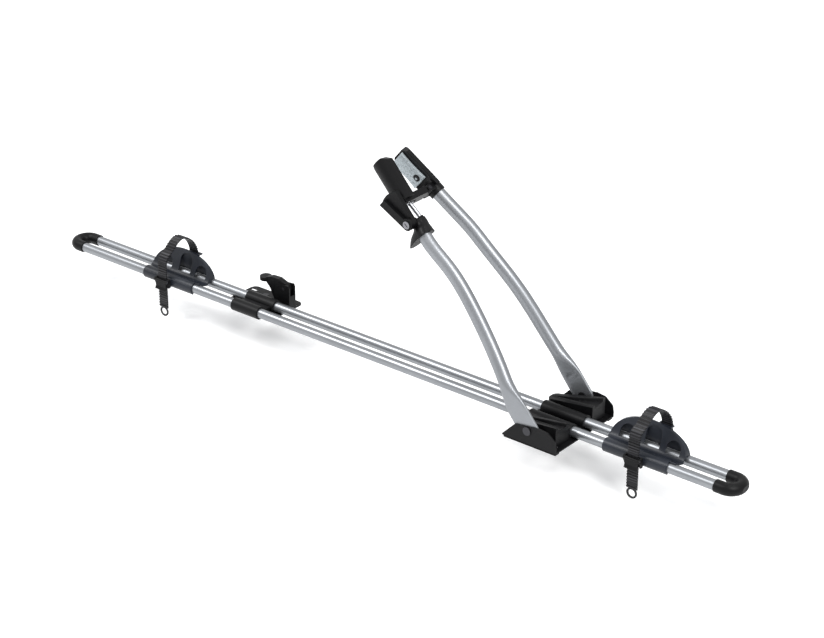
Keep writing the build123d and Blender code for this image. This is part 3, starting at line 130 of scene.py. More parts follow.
class Shade(Graph):
    """A new material with a Principled shader and short ways to texture it."""

    def __init__(self, name, color, rough, **sockets):
        self.mat = bpy.data.materials.new(name)
        self.mat.use_nodes = True
        super().__init__(self.mat.node_tree)
        self.shader = self.tree.nodes["Principled BSDF"]
        self.set("Base Color", (*color, 1.0))
        self.set("Roughness", rough)
        self.feed(self.shader, sockets)

    def set(self, name, value):
        self.feed(self.shader, {name: value})

    def axis(self, name):
        """One of the Object coordinates."""
        place = self.add("ShaderNodeTexCoord", output="Object")
        return self.add("ShaderNodeSeparateXYZ", sockets={0: place}, output=name)

    def noise(self, scale, detail, rough=0.5, stretch=(1.0, 1.0, 1.0), turn=(0.0, 0.0, 0.0)):
        """Noise on the Object coordinates, stretched and turned."""
        place = self.add("ShaderNodeTexCoord", output="Object")
        place = self.add(
            "ShaderNodeMapping", sockets={"Vector": place, "Scale": stretch, "Rotation": turn}
        )
        return self.add(
            "ShaderNodeTexNoise",
            sockets={"Vector": place, "Scale": scale, "Detail": detail, "Roughness": rough},
            output="Fac",
        )

    def mix(self, share, low, high):
        """Colour between two colours, each a colour or an output."""
        low, high = (c if isinstance(c, Sock) else (*c, 1.0) for c in (low, high))
        return self.add(
            "ShaderNodeMix", {"data_type": "RGBA"}, {"Factor": share, "A": low, "B": high}, "Result"
        )

    def bump(self, height, strength, distance):
        sockets = {"Strength": strength, "Distance": distance, "Height": height}
        self.set("Normal", self.add("ShaderNodeBump", sockets=sockets))


def tinted(color, factor, lift=0.0):
    """A colour times a factor, no brighter than white."""
    return tuple(min(1.0, c * factor + lift) for c in color)


# Finishes
FINE_GRAIN = 2600.0


def aluminium(name, color, rough, stretch, turn=(0.0, 0.0, 0.0)):
    """Satin anodised aluminium with faint drawing lines."""
    s = Shade(name, color, rough, Metallic=0.86)
    lines = s.noise(scale=900.0, detail=2.0, rough=0.6, stretch=stretch, turn=turn)
    cloud = s.noise(scale=9.0, detail=3.0)
    s.set("Base Color", s.mix(cloud.ramp(0.35, 0.7), tinted(color, 0.9), color))
    s.set("Roughness", lines.ramp(0.2, 0.8, rough - 0.05, rough + 0.07))
    s.bump(lines, strength=0.02, distance=0.0001)
    return s.mat


def moulded(name, color, rough, gloss=0.13):
    """Moulded plastic, rubber or powder coat with a fine grain."""
    s = Shade(name, color, rough)
    s.set("Specular IOR Level", gloss)
    grain = s.noise(scale=FINE_GRAIN, detail=2.0, rough=0.6)
    cloud = s.noise(scale=14.0, detail=4.0, rough=0.6)
    s.set("Base Color", s.mix(cloud.ramp(0.4, 0.75), color, tinted(color, 1.5, 0.002)))
    s.set("Roughness", grain.ramp(0.2, 0.8, rough - 0.06, rough + 0.08))
    s.bump(grain, strength=0.25, distance=0.00025)
    return s.mat


def toothed(name, pitch, painted_groove_shade, painted_crest_highlight):
    """Strap plastic with cross teeth: a sine of the height, one wave to each tooth. The same wave
    paints shade into the grooves and a highlight onto the crests.
    """
    s = Shade(name, painted_groove_shade, rough=0.34)
    s.set("Specular IOR Level", 0.2)
    teeth = (s.axis("Z") * (2 * math.pi / pitch)).sine().ramp(-0.3, 0.9)
    grain = s.noise(scale=FINE_GRAIN, detail=2.0, rough=0.6)
    # Painted light: the groove colour is painted shade in the grooves, the crest colour a painted
    # highlight on the crests
    s.set("Base Color", s.mix(teeth, painted_groove_shade, painted_crest_highlight))
    s.set("Roughness", grain.ramp(0.2, 0.8, 0.3, 0.42))
    s.bump(teeth + grain * 0.1, strength=0.5, distance=0.0005)
    return s.mat


def speckled(name, color):
    """Pale rubber with dark and light specks."""
    s = Shade(name, color, rough=0.8)
    specks = s.noise(scale=620.0, detail=2.0)
    fine = s.noise(scale=1100.0, detail=2.0)
    body = s.mix(specks.ramp(0.52, 0.62), color, tinted(color, 0.42))
    s.set("Base Color", s.mix(fine.ramp(0.58, 0.66), body, tinted(color, 1.4)))
    s.bump(specks, strength=0.3, distance=0.0003)
    return s.mat


def polished(name, color, rough):
    """Plated, polished or blackened steel."""
    s = Shade(name, color, rough, Metallic=1.0)
    cloud = s.noise(scale=600.0, detail=2.0)
    s.set("Roughness", cloud.ramp(0.3, 0.7, rough - 0.04, rough + 0.06))
    s.bump(cloud, strength=0.05, distance=0.0001)
    return s.mat


def black_plastic(context):
    """The plastic that all black moulded pieces share, made at its first use."""
    name = "Black plastic"
    color = tuple(context.scene.carrier_colors.black_color)
    return bpy.data.materials.get(name) or moulded(name, color, rough=0.42)


def dress(heads, material):
    """Gives a material to every slot of the CAD nodes whose names start with one of the heads."""
    for name in NODES:
        if not name.startswith(heads):
            continue
        mesh = NODES[name].data
        if not mesh.materials:
            mesh.materials.append(material)
        for i in range(len(mesh.materials)):
            mesh.materials[i] = material


# Surfaces, in millimetres
def natural(points, count, first=None, last=None):
    """Smooth curve through points: piecewise cubics whose slope and curvature run on."""
    knots = np.asarray(points, float)
    steps = np.linalg.norm(np.diff(knots, axis=0), axis=1)
    place = np.concatenate([[0.0], np.cumsum(steps)])
    n = len(knots)
    grid = np.zeros((n, n))
    right = np.zeros_like(knots)
    inner = np.arange(1, n - 1)
    grid[inner, inner - 1] = steps[1:]
    grid[inner, inner] = 2 * (steps[:-1] + steps[1:])
    grid[inner, inner + 1] = steps[:-1]
    rise = np.diff(knots, axis=0) / steps[:, None]
    right[inner] = 3 * (rise[:-1] * steps[1:, None] + rise[1:] * steps[:-1, None])
    for row, given, near, slope in ((0, first, 1, rise[0]), (n - 1, last, n - 2, rise[-1])):
        grid[row, row] = 1.0 if given is not None else 2.0
        grid[row, near] = 0.0 if given is not None else 1.0
        right[row] = given if given is not None else 3 * slope
    slopes = np.linalg.solve(grid, right)
    at = np.linspace(0.0, place[-1], count)
    i = np.clip(np.searchsorted(place, at, side="right") - 1, 0, n - 2)
    h = steps[i][:, None]
    u = ((at - place[i]) / steps[i])[:, None]
    from_knot = (2 * u**3 - 3 * u**2 + 1) * knots[i] + (u**3 - 2 * u**2 + u) * h * slopes[i]
    to_knot = (3 * u**2 - 2 * u**3) * knots[i + 1] + (u**3 - u**2) * h * slopes[i + 1]
    return from_knot + to_knot


def round_angles(count):
    """Angles once round, half a step off the axes."""
    return 2 * np.pi * (np.arange(count) + 0.5) / count


def superellipse(wide, deep, power, count):
    """Closed curve |2x / wide| ** power + |2y / deep| ** power = 1, by its angle."""
    angle = round_angles(count)
    c, s = np.cos(angle), np.sin(angle)
    share = 2 / np.asarray(power)[..., None]
    x = np.asarray(wide)[..., None] / 2 * np.sign(c) * np.abs(c) ** share
    y = np.asarray(deep)[..., None] / 2 * np.sign(s) * np.abs(s) ** share
    return x, y


def between(low, high, count):
    """Rows in equal steps from low to high, without low itself."""
    share = np.linspace(0, 1, count + 1)[1:, None]
    return low + (high - low) * share


def grid_faces(rows, columns, closed):
    """Quads between neighbouring rows and columns of a grid of points."""
    across = columns if closed else columns - 1
    r, c = np.meshgrid(np.arange(rows - 1), np.arange(across), indexing="ij")
    here, there = r * columns, (c + 1) % columns
    quads = [here + c, here + there, here + columns + there, here + columns + c]
    return np.stack(quads, -1).reshape(-1, 4)


def tube_faces(rows, columns):
    """Quads of a tube and the two polygons that close its ends."""
    first = np.arange(columns)
    return [*grid_faces(rows, columns, True), first[::-1], (rows - 1) * columns + first]


def border(rows, columns):
    """Points round the edge of a grid, in order."""
    at = np.arange(rows * columns).reshape(rows, columns)
    return np.concatenate([at[0], at[1:, -1], at[-1, -2::-1], at[-2:0:-1, 0]])


def band_faces(first, second):
    """Quads between two closed rows of points."""
    return np.stack([first, np.roll(first, -1), np.roll(second, -1), second], -1)


def gathered(parts):
    """Points and faces of several shells as one."""
    points, faces, total = [], [], 0
    for at, shell in parts:
        points.append(at)
        faces += [np.asarray(face) + total for face in shell]
        total += len(at)
    return np.concatenate(points), faces


MERGE = 0.01 * MM
SHARP_ANGLE = math.radians(38)
BEVEL_ANGLE = math.radians(40)
BEVEL_SEGMENTS = 2


def piece(name, points, faces, material, body, nodes, wall=0.0, edge=0.0):
    """New mesh object on a body: its doubles merged and its faces turned outwards. A wall makes
    a sheet thick on its inner side, and an edge rounds its sharp corners."""
    mesh = bpy.data.meshes.new(name)
    mesh.from_pydata((points * MM).tolist(), [], [np.asarray(face).tolist() for face in faces])
    work = bmesh.new()
    work.from_mesh(mesh)
    bmesh.ops.remove_doubles(work, verts=work.verts, dist=MERGE)
    bmesh.ops.dissolve_degenerate(work, edges=work.edges, dist=MERGE)
    bmesh.ops.recalc_face_normals(work, faces=work.faces)
    work.to_mesh(mesh)
    work.free()
    mesh.shade_smooth()
    mesh.set_sharp_from_angle(angle=SHARP_ANGLE)
    mesh.materials.append(material)
    made = bpy.data.objects.new(name, mesh)
    bpy.context.scene.collection.objects.link(made)
    if wall:
        shell = made.modifiers.new("Wall", "SOLIDIFY")
        shell.thickness = wall * MM
        shell.offset = -1.0
    if edge:
        soft = made.modifiers.new("Edge", "BEVEL")
        soft.width = edge * MM
        soft.segments = BEVEL_SEGMENTS
        soft.limit_method = "ANGLE"
        soft.angle_limit = BEVEL_ANGLE
    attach(made, body)
    for node in nodes:
        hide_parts(node)


# Arms: the pivot in the flat paddle, the bends above the rails' axes, and the head
PIVOT = np.array((-4.0, 76.5, RAIL_Z + 11.0))
HEAD = np.array((-275.8, 42.4, RAIL_Z + 303.1))
HEAD_TURN = math.radians(39.65)
HEAD_LEAN = math.radians(8.5)
PADDLE_RISE = math.radians(50.5)
PADDLE_RUN = 34.0
REAR_BENDS = ((-71.0, 74.5, 90.6), (-137.4, 63.8, 175.3), (-197.0, 53.2, 236.5))
FRONT_BENDS = ((-70.0, 65.0, 90.6), (-135.0, 54.3, 175.3), (-193.0, 51.0, 236.5))
REAR_TOP = 30.0
FRONT_TOP = -37.0
ARM_TOP_RUN = 50.0
# Width, depth and power of the section, one row to each step from the paddle up
ARM_STEP = 12.5
ARM_FLARE = np.array((
    (40.0, 6.0, 5.0), (38.5, 8.5, 4.0), (34.0, 14.0, 3.0), (28.5, 19.5, 2.4), (25.0, 22.0, 2.0),
))
ARM_SMOOTHING = 3
ARM_LEAST_WIDTH = 1.0
ARM_ROUND_END = np.linspace(0.0, np.pi / 2, 14)
ARM_PADDLE = np.linspace(2.0, PADDLE_RUN - 1.5, 18)
ARM_BENT_ROWS = 120
ARM_TOP_ROWS = 8
ARM_AROUND = 56
DIMPLE_X = -32.0
DIMPLE_Z = RAIL_Z + 38.4
DIMPLE_R = 5.2


def lengths(vectors):
    """Length of each vector."""
    return np.linalg.norm(vectors, axis=1)


def arm_sizes(bent, paddle_rows):
    """Sections of an arm: a quarter circle rounds the paddle's end, then the flare's sizes are
    read off by length and smoothed with a bell of weights."""
    run = np.concatenate([[0.0], np.cumsum(lengths(np.diff(bent, axis=0)))]) / ARM_STEP
    steps = np.arange(len(ARM_FLARE))
    sizes = np.stack([np.interp(run, steps, column) for column in ARM_FLARE.T], 1)
    bell = np.hanning(2 * ARM_SMOOTHING + 3)[1:-1]
    bell /= bell.sum()
    padded = np.pad(sizes, ((ARM_SMOOTHING, ARM_SMOOTHING), (0, 0)), "edge")
    sizes = np.stack([np.convolve(column, bell, "valid") for column in padded.T], 1)
    paddle = np.repeat(ARM_FLARE[:1], paddle_rows, 0)
    widths = ARM_FLARE[0, 0] * np.sin(ARM_ROUND_END)
    paddle[:len(widths), 0] = np.maximum(widths, ARM_LEAST_WIDTH)
    return np.concatenate([paddle, sizes, np.repeat(ARM_FLARE[-1:], ARM_TOP_ROWS, 0)])


def arm(name, side, top, bends, dimple, material):
    """Arm: a superellipse, flat at the paddle and oval above, carried up a smooth bent line. A
    paraboloid pushes a dimple into the inner face."""
    up = np.array((-math.cos(PADDLE_RISE), 0.0, math.sin(PADDLE_RISE)))
    lean = np.array((
        -math.cos(HEAD_TURN) * math.cos(HEAD_LEAN), -math.sin(HEAD_LEAN),
        math.sin(HEAD_TURN) * math.cos(HEAD_LEAN),
    ))
    middle = [(x, y, RAIL_Z + z) for x, y, z in bends]
    knots = [PIVOT + up * PADDLE_RUN, *middle, HEAD - lean * ARM_TOP_RUN]
    bent = natural(knots, ARM_BENT_ROWS, up, lean)
    round_end = -ARM_FLARE[0, 0] / 2 * np.cos(ARM_ROUND_END)
    paddle = np.concatenate([round_end, ARM_PADDLE])[:, None] * up
    tip = np.linspace(1.0, ARM_TOP_RUN + top, ARM_TOP_ROWS)[:, None] * lean
    line = np.concatenate([PIVOT + paddle, bent, bent[-1] + tip])
    sizes = arm_sizes(bent, len(paddle))
    along = np.gradient(line, axis=0)
    along /= lengths(along)[:, None]
    across = np.cross((0.0, 1.0, 0.0), along)
    across /= lengths(across)[:, None]
    deep = np.cross(along, across)
    x, y = superellipse(*sizes.T, ARM_AROUND)
    points = line[:, None] + x[..., None] * across[:, None] + y[..., None] * deep[:, None]
    off = np.hypot(points[..., 0] - DIMPLE_X, points[..., 2] - DIMPLE_Z) / DIMPLE_R
    inner = points[..., 1] < line[:, None, 1]
    points[..., 1] += dimple * inner * np.clip(1.0 - off**2, 0.0, 1.0)
    points[..., 1] *= side
    faces = tube_faces(len(line), ARM_AROUND)
    piece(
        f"{name}_tube", points.reshape(-1, 3), faces, material, "frame_holder", [name],
    )


# Wheel trays, from each tray's left end and the rails' axes
TRAY_STARTS = {"left": -929.0, "right": 108.0}
TRAY_LENGTH = 122.0
RAIL_PLAY = 0.05
CLIP_R = 12.0
CLIP_MOUTH = math.radians(27.0)
CLIP_EDGE = 0.4
RIDGE_TURN = math.radians(145)
RIDGE_R = 1.3
RIDGE_BORE_R = 0.05
RIDGE_POINTS = 14
RIDGE_SUNK = 0.5
RIDGE_INSET = 1.0
TROUGH_END = 132.8
WING_CENTRE = 62.0
WING_HALF = 71.6
WING_BASE = 6.0
WING_TIP_Y = -2.0
WING_TOP_Y = 20.0
WING_BACK_Y = 22.5
WING_BACK_FOOT = 9.6
WING_EDGE = 0.5
# The sheet's line in y and z, up to the wing's top
SHEET = ((-RAIL_Y, CLIP_R), (-8.0, 6.6), (1.0, 5.0), (7.0, 10.5), (14.0, 27.0))
SHEET_POINTS = 400
# Windows: start, end, sill and head
WINDOWS = ((7.0, 37.0, 7.8, 30.0), (54.5, 84.0, 9.0, 43.0), (95.5, 122.5, 7.8, 29.5))
WINDOW_ARCH = np.linspace(0, np.pi, 17)[1:-1]
WING_PLACES = 81
TROUGH_ROWS = 14
FOOT_ROWS = 2
WINDOW_ROWS = 5
CROWN_ROWS = 8
RIM_ROWS = 3
BACK_ROWS = (6, 4, 1)
LEAST_CROSS = 0.02
HOOKS = ((31.0, 43.0), (76.0, 87.0))
HOOK_WALL = 2.4
HOOK_TURN = 1.75
# Keeper: x, y, z and wall
KEEPER = ((70.0, 96.0), (WING_BACK_Y - 1.0, WING_BACK_Y + 8.5), (43.5, 46.0), 3.0)
# Strap's front and rear places along the rails
STRAP_X = {"left": (56.0, 75.5), "right": (64.0, 83.5)}
SEAT_HALF = 16.0
SEAT_Y = (-32.2, -26.2)
SEAT_Z = (-9.0, 8.0)
LUG_OFF = 13.5
LUG_HALF = 1.5
LUG_Y = (WING_BACK_Y - 1.5, 30.3)
LUG_Z = (11.5, 19.5)


def wing_places():
    """Places along the rails: even ones outside the windows, and the windows' arches."""
    even = np.linspace(WING_CENTRE - WING_HALF, WING_CENTRE + WING_HALF, WING_PLACES)
    places = [0.0, TROUGH_END]
    for start, end, _, _ in WINDOWS:
        middle, radius = (start + end) / 2, (end - start) / 2
        even = even[(even <= start) | (even >= end)]
        places += [start, end, *(middle - radius * np.cos(WINDOW_ARCH))]
    return np.unique(np.round(np.concatenate([even, places]), 4))


def window_lines(x, crown):
    """Sill and head at each place, the head a half circle in a window, and where it is open."""
    edges = [place for start, end, _, _ in WINDOWS for place in (start, end)]
    sills = [sill for _, _, sill, _ in WINDOWS for _ in range(2)]
    springs = [head - (end - start) / 2 for start, end, _, head in WINDOWS for _ in range(2)]
    sill_z = np.minimum(np.interp(x, edges, sills), crown)
    head_z = np.minimum(np.interp(x, edges, springs), crown)
    open_x = np.zeros(len(x), bool)
    for start, end, _, head in WINDOWS:
        radius = (end - start) / 2
        within = (x >= start) & (x <= end)
        arch = np.sqrt(np.clip(radius**2 - (x - start - radius) ** 2, 0, None))
        head_z = np.where(within, head - radius + arch, head_z)
        open_x |= within & (x < end)
    return sill_z, head_z, open_x


def tray_wing(side, top, wall, material):
    """Tray's sheet: one smooth line from the clip's top through the trough up the wing, carried
    along the rails under a half ellipse, then round the rim and down the back; arched windows."""
    x = wing_places()
    oval = np.sqrt(np.clip(1 - ((x - WING_CENTRE) / WING_HALF) ** 2, 0, 1))
    crown = WING_BASE + (top - WING_BASE) * oval
    sill, head, open_x = window_lines(x, crown)
    line_y, line_z = natural((*SHEET, (WING_TOP_Y, top)), SHEET_POINTS).T
    lowest = int(np.argmin(line_z))

    def on_sheet(z):
        return np.interp(z, line_z[lowest:], line_y[lowest:])

    base = np.full(len(x), max(WING_BASE, line_z[lowest]))
    left_tip = -RAIL_Y / 2 * (1 + x / (WING_HALF - WING_CENTRE))
    start_y = np.where(x < 0.0, left_tip, np.where(x > TROUGH_END, WING_TIP_Y, -RAIL_Y))
    trough_y = np.concatenate([start_y[None], between(start_y, on_sheet(base), TROUGH_ROWS)])
    trough_z = np.interp(trough_y, line_y, line_z)
    trough_z[-1] = np.minimum(trough_z[-1], crown)
    front_z = np.concatenate([
        between(base, sill, FOOT_ROWS), between(sill, head, WINDOW_ROWS),
        between(head, crown, CROWN_ROWS),
    ])
    rim_y = between(on_sheet(crown), WING_BACK_Y, RIM_ROWS)
    foot = np.minimum(WING_BACK_FOOT, crown)
    back_sill = np.minimum(np.maximum(sill, foot), crown)
    back_lines = (crown, np.maximum(head, back_sill), back_sill, foot)
    back_z = np.concatenate([
        between(high, low, count) for high, low, count in zip(back_lines, back_lines[1:], BACK_ROWS)
    ])
    back_y = np.full_like(back_z, WING_BACK_Y)
    y = np.concatenate([trough_y, on_sheet(front_z), rim_y, back_y])
    z = np.concatenate([trough_z, front_z, np.broadcast_to(crown, rim_y.shape), back_z])
    points = np.stack([np.broadcast_to(x, y.shape) + TRAY_STARTS[side], y, z + RAIL_Z], -1)
    points = points.reshape(-1, 3)
    faces = grid_faces(*y.shape, False)
    row, column = np.divmod(np.arange(len(faces)), len(x) - 1)
    first = TROUGH_ROWS + FOOT_ROWS
    hole = (row >= first) & (row < first + WINDOW_ROWS) & open_x[column]
    corners = points[faces]
    cross = np.cross(corners[:, 2] - corners[:, 0], corners[:, 3] - corners[:, 1])
    keep = ~hole & (lengths(cross) > LEAST_CROSS)
    piece(
        f"tray_wing_{side}", points, faces[keep], material, f"tray_{side}",
        [f"wheel_tray_{side}"], wall, WING_EDGE,
    )


# A whole ring keeps a hair's gap between its ends
FULL_TURN = 1.999 * math.pi


def open_ring(x, centre, inner, outer, first, last, count=40):
    """Part of a round tube along the rails: outer arc and inner arc back, carried along x."""
    angle = np.linspace(first, last, count)
    loop = [
        middle + np.concatenate([outer * turn(angle), inner * turn(angle[::-1])])
        for middle, turn in zip(centre, (np.cos, np.sin))
    ]
    points = np.stack(np.broadcast_arrays(np.array(x)[:, None], *loop), -1)
    return points.reshape(-1, 3), tube_faces(2, 2 * count)


def block(x, y, z, power=8.0, count=32):
    """Superellipse in x and z carried along y."""
    along, up = superellipse(x[1] - x[0], z[1] - z[0], power, count)
    points = np.broadcast_arrays(along + sum(x) / 2, np.array(y)[:, None], up + sum(z) / 2)
    return np.stack(points, -1).reshape(-1, 3), tube_faces(2, count)


def loop_frame(x, y, z, wall):
    """Flat rectangular loop: a square section carried round four corners."""
    outer = np.array(((x[0], y[0]), (x[1], y[0]), (x[1], y[1]), (x[0], y[1])))
    inner = outer + wall * np.array(((1, 1), (-1, 1), (-1, -1), (1, -1)))
    section = [
        np.column_stack([corners, np.full(4, level)])
        for corners, level in ((outer, z[0]), (outer, z[1]), (inner, z[1]), (inner, z[0]))
    ]
    ring = np.stack(section, 1)
    return np.concatenate([ring, ring[:1]]).reshape(-1, 3), grid_faces(5, 4, True)


def tray_clip(side, material):
    """Clip round the front rail with its ridge, hooks round the rear rail, the buckle's seat,
    the strap's lugs and its keeper."""
    front, rear = STRAP_X[side]
    fit = RAIL_R + RAIL_PLAY
    mouth = (CLIP_MOUTH - math.pi / 2, 1.5 * math.pi - CLIP_MOUTH)
    reach = CLIP_R - RIDGE_SUNK
    ridge = (reach * math.cos(RIDGE_TURN) - RAIL_Y, reach * math.sin(RIDGE_TURN))
    grip = RAIL_R + HOOK_WALL
    hooks = [open_ring(x, (RAIL_Y, 0.0), fit, grip, -HOOK_TURN, HOOK_TURN) for x in HOOKS]
    lugs = [
        block((centre - LUG_HALF, centre + LUG_HALF), LUG_Y, LUG_Z)
        for centre in (rear - LUG_OFF, rear + LUG_OFF)
    ]
    points, faces = gathered([
        open_ring((0.0, TRAY_LENGTH), (-RAIL_Y, 0.0), fit, CLIP_R, *mouth),
        open_ring(
            (RIDGE_INSET, TRAY_LENGTH - RIDGE_INSET), ridge, RIDGE_BORE_R, RIDGE_R,
            0.0, FULL_TURN, RIDGE_POINTS,
        ),
        *hooks,
        block((front - SEAT_HALF, front + SEAT_HALF), SEAT_Y, SEAT_Z),
        *lugs,
        loop_frame(*KEEPER),
    ])
    points += (TRAY_STARTS[side], 0.0, RAIL_Z)
    piece(
        f"tray_clip_{side}", points, faces, material, f"tray_{side}", [],
        edge=CLIP_EDGE,
    )


# Head, in its own frame: x down the arms, z square to them
HEAD_EDGE = 0.8
HOUSING_X = (8.0, 42.0)
HOUSING_Y = (-48.0, -23.0)
HOUSING_Z = -3.0
# How far the socket has swelled from its throat to its mouth, by the way along it
HOUSING_BELL = ((0.0, 0.0), (0.3, 0.1), (0.62, 0.62), (1.0, 1.0))
HOUSING_ROWS = 28
HOUSING_AROUND = 48
HOUSING_THROAT = (25.0, 23.0)
HOUSING_MOUTH = (30.0, 33.0)
HOUSING_POWER = 2.6
NOSE_SHARE = 0.16
NOSE_LIMIT = 0.97
TAIL_WIDTH_POWER = 1.6
TAIL_LENGTH_POWER = 1.5
TAIL_SPREAD = 5.0
CHEEK_X = (3.0, 17.0)
CHEEK_Y = (-48.0, -41.0)
CHEEK_Z = (-11.0, 3.0)
GUIDE_CENTRE = (-29.0, -1.0)
GUIDE_BORE_R = 4.1
GUIDE_R = 5.6
GUIDE_POINTS = 24
HOLLOW_R = 45.0
HOLLOW_Y = -50.0
PAD_X = (-104.0, -47.0)
PAD_Z = (-19.0, 9.5)
PAD_WAIST = 1.6
PAD_ROWS = 28
PAD_COLUMNS = 20
SCREW_X = -57.0
SCREW_Z = -4.0
# The seat's ring profile: radius, and height above the pad's face
SEAT_PROFILE = (
    (0.05, -0.2), (2.2, -0.2), (4.6, -1.1), (6.4, -0.7), (6.4, 1.5), (0.05, 1.5),
)
SCREW_AROUND = 32


def at_head(points):
    """Points of the head's frame in the row frame: turned about y, then moved."""
    x, y, z = np.moveaxis(points, -1, 0)
    c, s = math.cos(HEAD_TURN), math.sin(HEAD_TURN)
    return np.stack([HEAD[0] + x * c + z * s, y, HEAD[2] - x * s + z * c], -1)


def leaned(points, side=1):
    """Points along an arm's leaning top: turned about z, then moved to the arm's side."""
    x, y, z = np.moveaxis(points, -1, 0)
    turn = side * HEAD_LEAN
    c, s = math.cos(turn), math.sin(turn)
    return np.stack([x * c - y * s, side * HEAD[1] + x * s + y * c, z], -1)


def lever_socket(tail_drop, material):
    """Lever's socket: a superellipse that swells down a smooth line onto the front arm, with
    the lever's cheek, the rod's guide and a tail that sweeps down and out."""
    share = natural(HOUSING_BELL, HOUSING_ROWS)
    along, out = share[:, 0], np.clip(share[:, 1], 0.0, 1.0)
    mouth = leaned(np.array((HOUSING_X[1], 0.0, 0.0)), -1)
    throat = sum(HOUSING_Y) / 2
    x = HOUSING_X[0] + (mouth[0] - HOUSING_X[0]) * along
    y = throat + (mouth[1] - throat) * out
    z = HOUSING_Z * (1 - out)
    nose = np.sqrt(1.0 - np.clip(1.0 - along / NOSE_SHARE, 0.0, NOSE_LIMIT) ** 2)
    wide, deep = (
        (small + (large - small) * out) * nose
        for small, large in zip(HOUSING_THROAT, HOUSING_MOUTH)
    )
    power = np.full(HOUSING_ROWS, HOUSING_POWER)
    across, up = superellipse(wide, deep, power, HOUSING_AROUND)
    low = np.clip(-np.sin(round_angles(HOUSING_AROUND)), 0.0, None) ** TAIL_WIDTH_POWER
    tail = low * out[:, None] ** TAIL_LENGTH_POWER
    across = across - TAIL_SPREAD * tail
    up = up - tail_drop * tail
    turn = -HEAD_LEAN * out[:, None]
    swelled = np.stack([
        x[:, None] - across * np.sin(turn), y[:, None] + across * np.cos(turn), z[:, None] + up,
    ], -1)
    points, faces = gathered([
        (swelled.reshape(-1, 3), tube_faces(HOUSING_ROWS, HOUSING_AROUND)),
        block(CHEEK_X, CHEEK_Y, CHEEK_Z, power=2.0),
        open_ring(
            HOUSING_X, GUIDE_CENTRE, GUIDE_BORE_R, GUIDE_R, 0.0, FULL_TURN, GUIDE_POINTS
        ),
    ])
    piece(
        "lever_socket", at_head(points), faces, material, "frame_holder", ["lever_housing"],
        edge=HEAD_EDGE,
    )


def jaw_pad(name, side, body, wall, material):
    """Rubber pad in a jaw's hollow: an arc across, straight along, waisted in the middle."""
    along, across = np.meshgrid(
        np.linspace(0, 1, PAD_ROWS), np.linspace(0, 1, PAD_COLUMNS), indexing="ij"
    )
    x = PAD_X[0] + (PAD_X[1] - PAD_X[0]) * along
    waist = PAD_WAIST * np.sin(np.pi * along)
    z = PAD_Z[0] + waist + (PAD_Z[1] - PAD_Z[0] - 2 * waist) * across
    points = np.concatenate([
        np.stack([x, HOLLOW_Y + np.sqrt(radius**2 - z**2), z], -1).reshape(-1, 3)
        for radius in (HOLLOW_R - wall, HOLLOW_R)
    ])
    front = grid_faces(PAD_ROWS, PAD_COLUMNS, False)
    back = PAD_ROWS * PAD_COLUMNS
    rim = border(PAD_ROWS, PAD_COLUMNS)
    faces = np.concatenate([front, front[:, ::-1] + back, band_faces(rim, rim + back)])
    points = leaned(points) * (1, side, 1)
    piece(
        f"{name}_rubber", at_head(points), faces, material, body, [name],
        edge=HEAD_EDGE,
    )


def screw_seat(name, side, body, wall, material):
    """Dark sunk seat round a pad's screw: a ring profile turned about the screw."""
    radius, rise = np.array(SEAT_PROFILE).T[..., None]
    angle = np.linspace(0, 2 * np.pi, SCREW_AROUND + 1)[:-1]
    face = HOLLOW_Y + HOLLOW_R - wall
    points = np.stack(np.broadcast_arrays(
        SCREW_X + radius * np.cos(angle), face + rise, SCREW_Z + radius * np.sin(angle)
    ), -1)
    points = leaned(points.reshape(-1, 3)) * (1, side, 1)
    faces = tube_faces(len(SEAT_PROFILE), SCREW_AROUND)
    piece(f"{name}_seat", at_head(points), faces, material, body, [name])


# Foot wedges
WEDGE_X = (-49.0, 44.0)
WEDGE_INNER_Y = 33.5
WEDGE_OUTER_Y = (57.0, 69.5)
WEDGE_WIDENS = 0.2
WEDGE_FLOOR = 2.3
WEDGE_LOW = 21.0
WEDGE_CLIMB = 12.5
WEDGE_CLIMB_OUT = 5.5
WEDGE_CORNER = 9.0
WEDGE_CORNER_ROWS = 10
WEDGE_ROWS_START = 0.12
WEDGE_ROWS = 44
WEDGE_COLUMNS = 61
WEDGE_EDGE = 0.7
FLUTE_SHARE = 0.33
FLUTE_BLEND = 0.025
RIDGE_SHARE = 0.09
RIDGE_RISE = 1.3
RIDGE_START = 0.15


